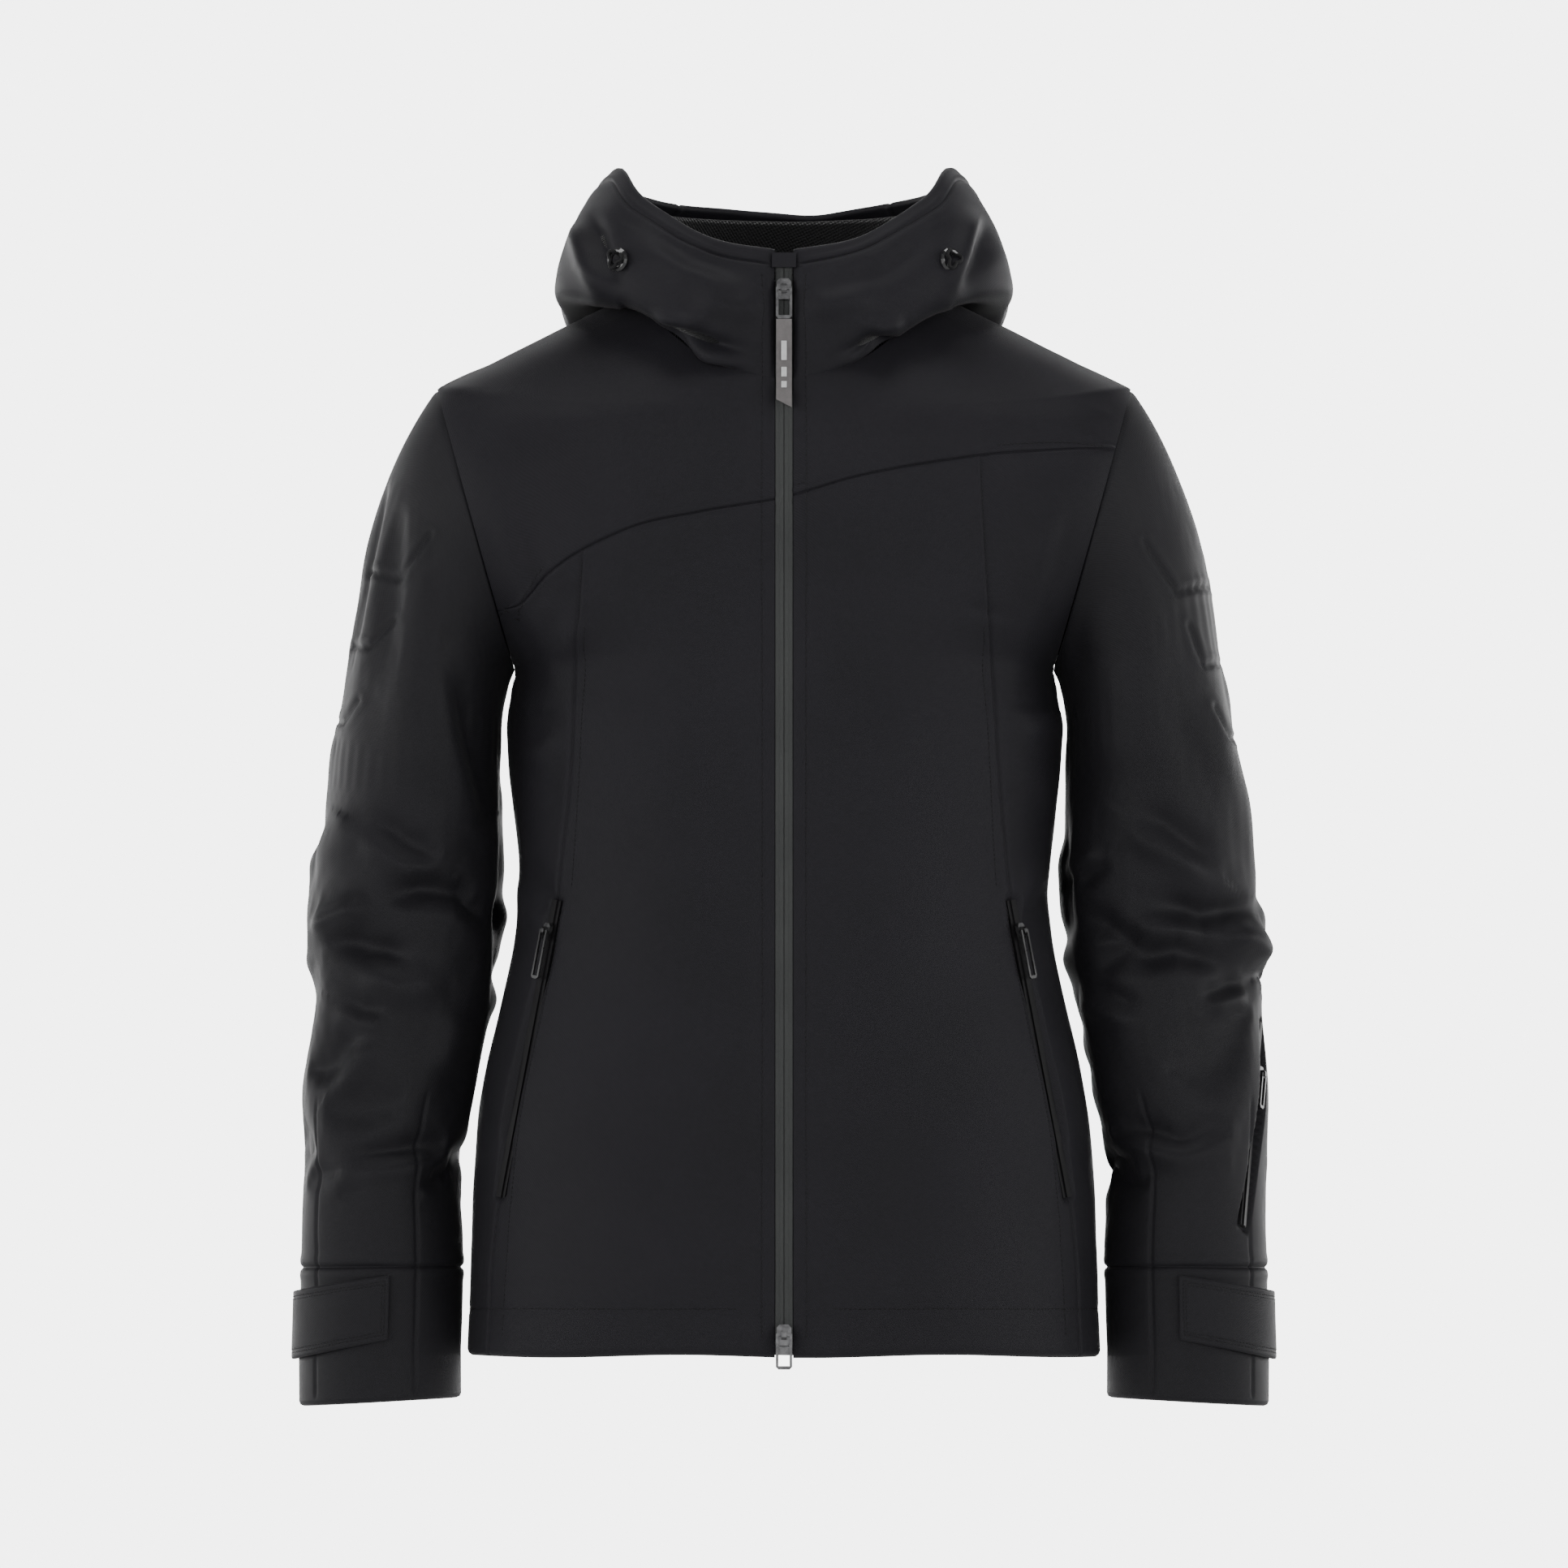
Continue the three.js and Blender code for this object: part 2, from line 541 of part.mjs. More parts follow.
function addMainZip() {
  const length = alongZip(COLLAR_TOP_Z - 4 - ZIP_FOOT_Z);
  for (const [side, word] of [[-1, 'right'], [1, 'left']]) {
    const near = side * SEAM / 2;
    const section = [[near, 0], [side * TAPE_HALF, 0], [side * TAPE_HALF, -TAPE], [side * COIL_HALF, -TAPE],
      [side * COIL_HALF, -TAPE - COIL], [near, -TAPE - COIL]];
    const tape = plate(side > 0 ? section.reverse() : section, length);
    tape.translate(0, TAPE_BACK, alongZip(ZIP_FOOT_Z));
    add(`front_zip_${word}`, tape.applyMatrix4(zipMatrix), zipTape);
  }
  const face = TAPE_BACK - TAPE - COIL - SLOT_PLAY;
  const at = (geometry, z, y = 0) => geometry.translate(0, face + y, alongZip(z)).applyMatrix4(zipMatrix);
  add('main_slider', at(sliderGeometry(SLIDER), MAIN_SLIDER_Z), darkMetal);
  add('main_pull_link', at(linkGeometry(SLIDER, PULL_LINK, 10), MAIN_SLIDER_Z, barPlace(SLIDER)), darkMetal);
  const top = -PULL_LINK - SEAM;
  const half = PULL_TAB_WIDTH / 2;
  const outline = [[-half, top], [-half, top - PULL_TAB + 5], [half, top - PULL_TAB], [half, top]];
  const tab = plate(outline, 2.2).rotateX(Math.PI / 2).translate(0, 1.1, 0);
  add('main_pull_tab', at(tab, MAIN_SLIDER_Z, barPlace(SLIDER)), softPlastic);
  add('lower_slider', at(sliderGeometry(SLIDER), LOWER_SLIDER_Z), darkMetal);
  add('lower_pull', at(linkGeometry(SLIDER, 21, 10), LOWER_SLIDER_Z, barPlace(SLIDER)), darkMetal);
  const box = new THREE.BoxGeometry(9, 4, 5).translate(0, TAPE_BACK - 2, ZIP_FOOT_Z - 2.5 - SEAM);
  add('zip_end_box', box.applyMatrix4(zipMatrix), darkMetal);
  const flap = new THREE.BoxGeometry(FLAP_WIDTH, 2, alongZip(COLLAR_TOP_Z - 22))
    .translate(0, WALL + 1.5 + FACET_PLAY, alongZip(COLLAR_TOP_Z - 22) / 2 + 4);
  add('wind_flap', flap.applyMatrix4(zipMatrix), liningCloth);
}

// ------------------------------------------------------------------ hood
// Each column is the hood's outside in one upright plane through the neck,
// from the neck seam to the rim, as [distance from the neck's middle, z].
const HOOD = [
  { angle: -90, line: [0, 9, 19, 29, 40, 51, 62, 71, 79].map((h) => {
    const z = NECK_SIDE_Z - NECK_DIP + 1 + h;
    return [NECK_Y - zipY(z), z];
  }) },
  { angle: -60, line: [[92, 609], [98, 614], [102, 623], [104, 634], [104, 646], [102, 658], [98, 668], [94, 677],
    [91, 684]] },
  { angle: -30, line: [[96, 640], [110, 640], [123, 647], [129, 658], [129, 671], [125, 684], [117, 696],
    [107, 706], [100, 712]] },
  { angle: 0, line: [[99, 657.5], [124, 652], [142, 658], [142, 674], [137, 691], [130, 705], [121, 718], [111, 731],
    [105, 738]] },
  { angle: 45, line: [[90, 657.5], [114, 645], [134, 626], [152, 612], [169, 624], [176, 655], [169, 692],
    [151, 720], [134, 734]] },
  { angle: 90, line: [[82, 657.5], [104, 634], [132, 604], [165, 580], [196, 594], [211, 638], [206, 682],
    [182, 716], [162, 730]] },
];
const HOOD_STEPS = HOOD[0].line.length - 1;
const hoodCurves = HOOD[0].line.map((_, row) => [0, 1].map((k) => {
  const knots = HOOD.map(({ angle, line }) => [angle, line[row][k]]);
  return profile([...knots, [135, HOOD[4].line[row][k]]]);
}));
const hoodRows = [0, 1].map((k) => (angle) => profile(hoodCurves.map((pair, row) => [row, pair[k](angle)])));

/** Hood outside: angle as on the body, step 0 at the neck seam to the rim. */
function hood(angle, step) {
  const folded = angle > 90 ? 180 - angle : angle < -90 ? -180 - angle : angle;
  const reach = hoodRows[0](folded)(step);
  return vec(reach * Math.cos(rad(angle)), NECK_Y + reach * Math.sin(rad(angle)), hoodRows[1](folded)(step));
}

const HOOD_CLOTH = 5;
const BAND_STEP = 7;
const HOOD_SEAM_ANGLE = 62;

function addHood() {
  const slot = Math.asin((TAPE_HALF + SLOT_PLAY) / 86) * 180 / Math.PI;
  const start = -90 + slot;
  const sides = sheet(hood, [start, HOOD_SEAM_ANGLE], [0, BAND_STEP - 0.04], 18, 7, 0, HOOD_CLOTH);
  add('hood_side_left', sides, shellCloth);
  add('hood_side_right', mirrored(sides), shellCloth);
  const middle = [HOOD_SEAM_ANGLE + 0.3, 179.7 - HOOD_SEAM_ANGLE];
  add('hood_centre', sheet(hood, middle, [0, BAND_STEP - 0.04], 8, 7, 0, HOOD_CLOTH), shellCloth);
  const band = sheet(hood, [start, 89.9], [BAND_STEP, HOOD_STEPS], 22, 1, 0, HOOD_CLOTH);
  add('hood_band_left', band, shellCloth);
  add('hood_band_right', mirrored(band), shellCloth);
}

/** Inner collar outside: tucked into the neck opening, open at the zip. */
function collar(angle, step) {
  const s = Math.sin(rad(angle));
  const front = -zipY(NECK_SIDE_Z - NECK_DIP) + NECK_Y - WALL - 0.6;
  const back = NECK_BACK - NECK_Y - WALL - 0.6;
  const reachY = s < 0 ? front : back;
  const low = NECK_SIDE_Z - 5 - NECK_DIP * Math.max(-s, 0) ** 1.5;
  const high = 712 - 46 * Math.max(-s, 0) ** 1.3;
  const flare = step * (s < 0 ? 4 - 9 * s * s : 4);
  return vec((NECK_HALF_WIDTH - WALL - 0.6 + flare) * Math.cos(rad(angle)), NECK_Y + (reachY + flare) * s,
    lerp(low, high, step));
}

function addCollar() {
  add('inner_collar', sheet(collar, [-78, 258], [0, 1], 28, 3, 0, 4), liningCloth);
  const guard = new THREE.BoxGeometry(15, 2, 9).translate(0, -1 - FACET_PLAY, alongZip(COLLAR_TOP_Z - 5));
  add('chin_guard', guard.applyMatrix4(zipMatrix), shellCloth);
}

function addHangerLoop() {
  const half = LOOP_WIDTH / 2;
  const arc = (rx, rz) => Array.from({ length: 9 }, (_, i) => {
    const a = Math.PI * (1 + i / 8);
    return [rx * Math.cos(a), rz * Math.sin(a)];
  });
  const outline = [...arc(half, LOOP_DROP), ...arc(half - LOOP_STRIP, LOOP_DROP - LOOP_STRIP).reverse()];
  return plate(outline, 2).rotateX(Math.PI / 2);
}

// --------------------------------------------------------- hood hardware
function addEyelet(side, word) {
  const angle = -35;
  const place = hood(angle, 4.4);
  const outward = lifted(hood, angle, 4.4, 1).sub(place);
  const matrix = placeAt(place, vec(0, 0, 1), outward);
  const ring = [[EYELET_HOLE, 0], [EYELET_RADIUS, 0], [EYELET_RADIUS, 1.2], [EYELET_RADIUS - 1.4, 2.4],
    [EYELET_HOLE + 0.8, 2.4], [EYELET_HOLE, 1.4], [EYELET_HOLE, 0]].map(([r, y]) => new THREE.Vector2(r, y));
  const eyelet = new THREE.LatheGeometry(ring, 16).rotateX(Math.PI).translate(0, -FACET_PLAY, 0);
  eyelet.applyMatrix4(matrix);
  const route = [[-1.75, -1, 0], [-1.9, -5, -0.5], [-5, -7, -5], [-6.5, -6.4, -12], [-4, -6, -19], [0, -6, -22],
    [4, -6, -19], [6.5, -6.4, -12], [5, -7, -5], [1.9, -5, -0.5], [1.75, -1, 0]];
  const path = new THREE.CatmullRomCurve3(route.map(([x, y, z]) => vec(x, y, z)));
  const round = new THREE.Shape(circle(CORD / 2, 8).map(([x, y]) => new THREE.Vector2(x, y)));
  const cord = new THREE.ExtrudeGeometry(round, { steps: 12, extrudePath: path, bevelEnabled: false })
    .applyMatrix4(matrix);
  add(`hood_eyelet_${word}`, side > 0 ? eyelet : mirrored(eyelet), gloss);
  add(`hood_cord_${word}`, side > 0 ? cord : mirrored(cord), gloss);
}

// --------------------------------------------------------------- sleeves
// rows from armhole to cuff: height of the inner edge, lean of the section,
// its width and half depth, its place front to back, and the room to the body
const SLEEVE = [
  [ARMPIT_Z, 90 - THREE.MathUtils.radToDeg(ARM_TILT), 2 * ARMHOLE_RADIUS, ARMHOLE_RADIUS, 0, -1],
  [ARMPIT_Z - 14, 58, 147, 84, 0, 2],
  [ARMPIT_Z - 49, 36, BICEP_WIDTH + 3, 78, 1, 3],
  [ARMPIT_Z - 94, 15, BICEP_WIDTH, 73, 3, 6],
  [ELBOW_Z, 0, ELBOW_WIDTH, 66, 5, 5],
  [ELBOW_Z - 53, 0, ELBOW_WIDTH - 14, 62, 3, 4],
  [ELBOW_Z - 103, 0, FOREARM_WIDTH, 59, 0, 5],
  [ELBOW_Z - 158, 0, WRIST_WIDTH, 56, -3, 9],
  [CUFF_SEAM_Z + 10, 0, CUFF_WIDTH, 53, -5, 5],
  [CUFF_END_Z, -3, CUFF_WIDTH, 52, -7, 4],
];
const sleeveCurves = SLEEVE[0].map((_, k) => profile(SLEEVE.map((row, i) => [i, row[k]])));

/** Sleeve outside, wearer's left: angle 0 outwards, 90 the front. */
function sleeve(angle, row) {
  const [z, lean, width, depth, y, room] = sleeveCurves.map((curve) => curve(row));
  const across = vec(Math.cos(rad(lean)), 0, Math.sin(rad(lean)));
  const inner = vec(bodySide(z) + room, y, z);
  return inner.addScaledVector(across, width / 2 * (1 + Math.cos(rad(angle))))
    .add(vec(0, -depth * Math.sin(rad(angle)), 0));
}

const sleeveMiddle = (row) => sleeve(0, row).add(sleeve(180, row)).divideScalar(2);
const ELBOW_ROW = 4;
const CUFF_ROW = 8;
const SLEEVE_ROWS = [0, 0.5, 1, 1.5, 2, 2.5, 3, 3.5, 4, 4.5, 5, 6, 7, 8, 9];
const SLEEVE_AROUND = 20;

function sleeveRing(row, offset, shift = vec(0, 0, 0)) {
  return Array.from({ length: SLEEVE_AROUND }, (_, i) =>
    lifted(sleeve, (i + 0.5) * 360 / SLEEVE_AROUND, row, offset).add(shift));
}

function sleeveTube() {
  const inward = vec(-Math.cos(ARM_TILT), 0, Math.sin(ARM_TILT));
  const make = (offset, reach) => loft([
    sleeveRing(0, 0, inward.clone().multiplyScalar(reach)).map((p) => {
      const middle = sleeveMiddle(0).addScaledVector(inward, reach);
      return p.sub(middle).multiplyScalar(1 + offset / ARMHOLE_RADIUS).add(middle);
    }),
    ...SLEEVE_ROWS.slice(1).map((row) => sleeveRing(row, offset)),
    sleeveRing(9, offset, vec(0, 0, -reach)),
  ]);
  const tube = solid(make(0, 6)).subtract(solid(make(-WALL, 14)));
  const inside = solid(new THREE.BoxGeometry(300, 400, 600).translate(-150 + SEAM, 0, 0)
    .rotateY(ARM_TILT).translate(ARMHOLE_X, 0, ARMHOLE_Z));
  return tube.subtract(inside);
}

/** Outlines in Y and Z that part the sleeve at the elbow. */
function elbowRegions() {
  const middle = sleeveMiddle(ELBOW_ROW);
  const rise = Math.tan(ELBOW_BEND / 2 + rad(3.5));
  const reach = 110;
  const band = ELBOW_BACK_BAND / 2;
  const wedge = (gap) => {
    const front = reach * rise + ELBOW_RELIEF - gap;
    return [[middle.y + reach, middle.z + band - gap], [middle.y, middle.z + band - gap],
      [middle.y - reach, middle.z + front]];
  };
  const flipped = (points) => points.map(([y, z]) => [y, 2 * middle.z - z]);
  return {
    upper: [...wedge(0), [middle.y - reach, 800], [middle.y + reach, 800]],
    panel: [...wedge(SEAM), ...flipped(wedge(SEAM)).reverse()],
    lower: [...flipped(wedge(0)), [middle.y - reach, -200], [middle.y + reach, -200]],
  };
}

function addSleeve(side, word) {
  const tube = sleeveTube();
  const regions = elbowRegions();
  const keep = (geometry) => (side > 0 ? geometry : mirrored(geometry));
  const part = (outline) => tube.intersect(solid(prismX(outline, 0, 500)));
  const centre = [[ARMHOLE_X - 40, ARMHOLE_Z + 22], ...[0, 1, 2, 3, 4].map((row) => {
    const p = sleeveMiddle(row);
    return [p.x, p.z];
  }), [sleeveMiddle(ELBOW_ROW).x, 100]];
  const shifted = (gap) => centre.map(([x, z]) => [x + gap, z + gap]);
  const outer = prismY([...shifted(SEAM / 2), [500, 100], [500, 760], [ARMHOLE_X - 40, 760]], -150, 150);
  const inner = prismY([...shifted(-SEAM / 2), [100, 100], [100, ARMHOLE_Z + 22]], -150, 150);
  const upper = part(regions.upper);
  add(`upper_sleeve_outer_${word}`, keep(fromSolid(upper.intersect(solid(outer)))), sleeveCloth);
  add(`upper_sleeve_inner_${word}`, keep(fromSolid(upper.intersect(solid(inner)))), sleeveCloth);
  add(`elbow_panel_${word}`, keep(fromSolid(part(regions.panel))), sleeveCloth);
  const seam = new THREE.BoxGeometry(400, 400, SEAM).translate(ARMHOLE_X, 0, CUFF_SEAM_Z);
  const low = new THREE.BoxGeometry(400, 400, 300).translate(ARMHOLE_X, 0, CUFF_SEAM_Z - 150);
  const forearm = part(regions.lower);
  let cloth = forearm.subtract(solid(low)).subtract(solid(seam));
  if (side > 0) cloth = cloth.subtract(solid(sleevePocketSlot()));
  add(`forearm_${word}`, keep(fromSolid(cloth)), sleeveCloth);
  add(`cuff_${word}`, keep(fromSolid(forearm.intersect(solid(low)).subtract(solid(seam)))), sleeveCloth);
  const rows = [CUFF_ROW + 0.12, CUFF_ROW + 0.12 + TAB_HEIGHT / (CUFF_SEAM_Z + 10 - CUFF_END_Z)];
  const tabLow = (angle) => rows[1] + 0.18 * (1 + Math.cos(rad(angle))) / 2;
  const tabHigh = (angle) => rows[0] + 0.18 * (1 + Math.cos(rad(angle))) / 2;
  const tab = sheet(sleeve, [-42, 98], [tabHigh, tabLow], 12, 2, HOOK_GAP + HOOK + SLOT_PLAY + TAB, TAB);
  add(`cuff_tab_${word}`, keep(tab), sleeveCloth);
  const hook = sheet(sleeve, [-30, 90], [tabHigh, (a) => tabLow(a) - 0.06], 10, 1, HOOK_GAP + HOOK, HOOK);
  add(`hook_patch_${word}`, keep(hook), liningCloth);
}

// -------------------------------------------------------- forearm pocket
const SLEEVE_POCKET_TAPE_HALF = 4;
const SLEEVE_POCKET = { topRow: 5.25, bottomRow: 7.75, topAngle: 12, bottomAngle: 46, sliderDrop: 34 };

function sleevePocketPlace() {
  const top = sleeve(SLEEVE_POCKET.topAngle, SLEEVE_POCKET.topRow);
  const bottom = sleeve(SLEEVE_POCKET.bottomAngle, SLEEVE_POCKET.bottomRow);
  const middle = top.clone().add(bottom).divideScalar(2);
  const angle = (SLEEVE_POCKET.topAngle + SLEEVE_POCKET.bottomAngle) / 2;
  const row = (SLEEVE_POCKET.topRow + SLEEVE_POCKET.bottomRow) / 2;
  const outward = lifted(sleeve, angle, row, 1).sub(sleeve(angle, row));
  const along = top.clone().sub(bottom);
  return { matrix: placeAt(middle, along, outward), length: along.length() };
}

function sleevePocketSlot() {
  const { matrix, length } = sleevePocketPlace();
  return new THREE.BoxGeometry(2 * (SLEEVE_POCKET_TAPE_HALF + SLOT_PLAY), 40, length + 2 * SLOT_PLAY)
    .applyMatrix4(matrix);
}

function addSleevePocket() {
  const { matrix, length } = sleevePocketPlace();
  const at = (geometry, z, y) => geometry.translate(0, y, z).applyMatrix4(matrix);
  const tapeBack = WALL / 2;
  add('sleeve_pocket_zip', at(zipStrip(SLEEVE_POCKET_TAPE_HALF, length), 0, tapeBack), zipTape);
  const sliderZ = length / 2 - SLEEVE_POCKET.sliderDrop;
  const sliderY = tapeBack - TAPE - COIL - SLOT_PLAY;
  add('sleeve_pocket_slider', at(sliderGeometry(SMALL_SLIDER), sliderZ, sliderY), darkMetal);
  const pull = linkGeometry(SMALL_SLIDER, 22, 6.4);
  add('sleeve_pocket_pull', at(pull, sliderZ, sliderY + barPlace(SMALL_SLIDER)), darkMetal);
}

// -------------------------------------------------------------- assembly
bodyPanels(bodyShell());
addLining();
addSkirt();
addMainZip();
addHood();
addCollar();
for (const [side, word] of [[-1, 'right'], [1, 'left']]) {
  addHandPocket(side, word);
  addEyelet(side, word);
  addSleeve(side, word);
}
addSleevePocket();

const LOOP_Z = 672;
const loopWall = lifted(collar, 90 - 16, 0.45, -4).y;
const LOOP_Y = loopWall - 2.9 - FACET_PLAY;
const loop = add('hanger_loop', addHangerLoop(), liningCloth);
loop.position.set(0, LOOP_Y + 2, LOOP_Z);

const root = new THREE.Group();
jacket.position.set(0, -LOOP_Y, -LOOP_Z);
root.add(jacket);

export default root;
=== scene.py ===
# Insulated ski jacket: the visible model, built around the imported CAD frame.
# Surfaces are worked out in millimetres, measured from the hem as in the CAD
# model, and moved into the frame's metres when a mesh is made.
import json
import math

import bmesh
import bpy
import numpy as np
from mathutils import Matrix, Vector
from mathutils.bvhtree import BVHTree


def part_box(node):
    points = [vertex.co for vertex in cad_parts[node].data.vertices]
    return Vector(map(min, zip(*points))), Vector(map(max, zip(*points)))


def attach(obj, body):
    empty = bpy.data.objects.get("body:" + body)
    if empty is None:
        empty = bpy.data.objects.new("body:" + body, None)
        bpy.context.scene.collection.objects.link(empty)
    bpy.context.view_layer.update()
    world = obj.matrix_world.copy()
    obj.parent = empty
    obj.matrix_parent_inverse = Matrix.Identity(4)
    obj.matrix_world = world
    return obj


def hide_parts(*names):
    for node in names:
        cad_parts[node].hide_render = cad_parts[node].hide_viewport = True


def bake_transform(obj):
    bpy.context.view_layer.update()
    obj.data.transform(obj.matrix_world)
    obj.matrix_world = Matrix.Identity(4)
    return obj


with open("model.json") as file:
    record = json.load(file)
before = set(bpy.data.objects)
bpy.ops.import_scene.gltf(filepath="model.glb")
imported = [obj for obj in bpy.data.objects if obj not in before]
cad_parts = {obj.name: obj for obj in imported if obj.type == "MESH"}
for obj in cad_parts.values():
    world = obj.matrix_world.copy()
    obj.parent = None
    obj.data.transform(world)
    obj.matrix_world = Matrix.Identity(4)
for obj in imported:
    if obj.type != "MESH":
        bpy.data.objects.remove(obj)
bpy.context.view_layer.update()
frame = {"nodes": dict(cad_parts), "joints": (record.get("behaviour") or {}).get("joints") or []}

# ------------------------------------------------------------------ sizes
HEM_HALF_WIDTH, HIP_HALF_WIDTH, WAIST_HALF_WIDTH, RIB_HALF_WIDTH = 197, 190, 166, 174
HIP_Z, WAIST_Z, RIB_Z = 144, 273, 385
NECK_HALF_WIDTH, NECK_SIDE_Z, NECK_BACK, NECK_Y = 97, 655, 70, -10
NECK_DIP, NECK_DIP_START_Z = 61, 560
ZIP_HEM_FRONT, ZIP_LEAN = 131, math.radians(2.97)
ARMHOLE_RADIUS, ARMHOLE_X, ARMHOLE_Z = 91, 193, 512
ARM_TILT, ARMHOLE_BULGE = math.radians(15.5), 32
ZIP_EDGE = 5.7              # half the width of the slot for the front zip
CLOTH = 6                   # shell cloth with its insulation
ORIGIN = Vector((0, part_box("front_panel_left")[0].y + ZIP_HEM_FRONT / 1000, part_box("back_panel")[0].z))
SIDES = {"right": -1, "left": 1}


# ------------------------------------------------------------ small maths
def profile(knots):
    """Smooth curve through (position, value) knots, level beyond its ends."""
    at, value = np.array(knots, float).T
    slope = np.empty(len(at))
    slope[1:-1] = (value[2:] - value[:-2]) / (at[2:] - at[:-2])
    slope[0], slope[-1] = np.diff(value)[0] / np.diff(at)[0], np.diff(value)[-1] / np.diff(at)[-1]

    def curve(where):
        where = np.clip(where, at[0], at[-1])
        i = np.clip(np.searchsorted(at, where, side="right") - 1, 0, len(at) - 2)
        span = at[i + 1] - at[i]
        t = (where - at[i]) / span
        rise = (2 * t**3 - 3 * t**2 + 1) * value[i] + (t**3 - 2 * t**2 + t) * span * slope[i]
        return rise + (3 * t**2 - 2 * t**3) * value[i + 1] + (t**3 - t**2) * span * slope[i + 1]

    return curve


def smooth(low, high, value):
    t = np.clip((value - low) / (high - low), 0, 1)
    return t * t * (3 - 2 * t)


def bell(off, width):
    return np.exp(-((off / width) ** 2))


def turn_between(angle, aim):
    """Degrees from one angle to another, the short way round."""
    return np.degrees(np.angle(np.exp(1j * np.radians(angle - aim))))


def graded(length, step, fine=(0.0, 0.5, 1.1, 2.0, 3.4, 5.2), start=True, end=True):
    """Positions along a length, an even step apart, packed close at seams."""
    low = list(fine) if start else [0.0]
    high = [length - f for f in reversed(fine)] if end else [length]
    count = max(2, int(round((high[0] - low[-1]) / step)))
    middle = np.linspace(low[-1], high[0], count + 1)[1:-1]
    return np.concatenate([low, middle, high])


# ---------------------------------------------------------- zips in the frame
CARVE_REACH = 20            # cloth further than this from the zip stays as it is
# length of the slot, how far it runs above the pull, half its width
POCKET_ZIP_SLOT = (186.4, 20, 4.4)
SLEEVE_ZIP_SLOT = (134, 34, 4.6)


def joint(name):
    return next(j for j in frame["joints"] if j["name"] == name)


def carve(points, pull_joint, slider_joint, length, drop, half, bar_out=4.2, depth=3.3):
    """Sinks the cloth under a small zip, which lies in a slot of its own."""
    pull = joint(pull_joint)
    along = np.array(joint(slider_joint)["axis"])
    along = along * np.sign(along[2]) / np.linalg.norm(along)
    out = np.cross(along, np.array(pull["axis"]))
    out = out / np.linalg.norm(out)
    out = out if out[1] < 0 else -out
    across = np.cross(along, out)
    rel = points - (np.array(Vector(pull["pos_m"]) - ORIGIN) * 1000 - out * bar_out)
    a, h, deep = rel @ across, rel @ along, -(rel @ out)
    inside = smooth(half + 1.6, half + 0.2, np.abs(a)) * smooth(drop - length - 1.8, drop - length, h)
    inside = inside * smooth(drop + 1.8, drop, h) * (np.abs(deep) < CARVE_REACH)
    return points - out * (inside * np.maximum(depth - deep, 0))[..., None]


# ------------------------------------------------------------ body surface
def zip_y(z):
    return -ZIP_HEM_FRONT + z * math.tan(ZIP_LEAN)


def armhole_edge(z):
    return ARMHOLE_X + (z - ARMHOLE_Z) * math.tan(ARM_TILT)


ARMHOLE_REACH = ARMHOLE_RADIUS * math.cos(ARM_TILT)
ARMPIT_Z, SHOULDER_Z = ARMHOLE_Z - ARMHOLE_REACH, ARMHOLE_Z + ARMHOLE_REACH
body_side = profile([(0, HEM_HALF_WIDTH), (HIP_Z, HIP_HALF_WIDTH), (WAIST_Z, WAIST_HALF_WIDTH),
                     (RIB_Z, RIB_HALF_WIDTH), (ARMPIT_Z, armhole_edge(ARMPIT_Z) + 1)])
body_back = profile([(0, 118), (WAIST_Z - 20, 106), (480, 118), (560, 112), (SHOULDER_Z, 98),
                     (NECK_SIDE_Z, NECK_BACK)])
squareness = profile([(0, 2.4), (RIB_Z, 2.5), (ARMPIT_Z, 2.6), (450, 3), (ARMHOLE_Z, 4), (575, 3.4),
                      (SHOULDER_Z + 3, 2.6), (NECK_SIDE_Z, 2.1)])


def half_width(level):
    q = (level - ARMHOLE_Z) / ARMHOLE_REACH
    chest = armhole_edge(level) + ARMHOLE_BULGE * np.maximum(1 - q * q, 0)
    t = np.clip((level - SHOULDER_Z) / (NECK_SIDE_Z - SHOULDER_Z), 0, 1)
    top = armhole_edge(SHOULDER_Z) * (1 - t) + NECK_HALF_WIDTH * t
    into = smooth(ARMPIT_Z - 40, ARMPIT_Z + 34, level)
    low = body_side(level) * (1 - into) + chest * into
    return np.where(level < SHOULDER_Z, low, top)


def body(angle, level):
    """Outside of the body: angle -90 is the front, 0 the wearer's left."""
    c, s = np.cos(np.radians(angle)), np.sin(np.radians(angle))
    power = 2 / squareness(level)
    high = np.maximum((level - NECK_DIP_START_Z) / (NECK_SIDE_Z - NECK_DIP_START_Z), 0)
    z = level - NECK_DIP * high**1.2 * np.maximum(-s, 0) ** 1.5
    front, back = -zip_y(z), body_back(level)
    x = np.sign(c) * half_width(level) * np.abs(c) ** power
    y = (back - front) / 2 + np.sign(s) * (front + back) / 2 * np.abs(s) ** power
    return np.stack(np.broadcast_arrays(x, y, z), -1)


def normals(points, closed=False):
    """Unit normals of a grid of points, from its rows and columns."""
    if closed:
        du = np.roll(points, -1, 1) - np.roll(points, 1, 1)
    else:
        du = np.gradient(points, axis=1)
    dv = np.gradient(points, axis=0)
    n = np.cross(du, dv)
    return n / np.maximum(np.linalg.norm(n, axis=-1, keepdims=True), 1e-9)


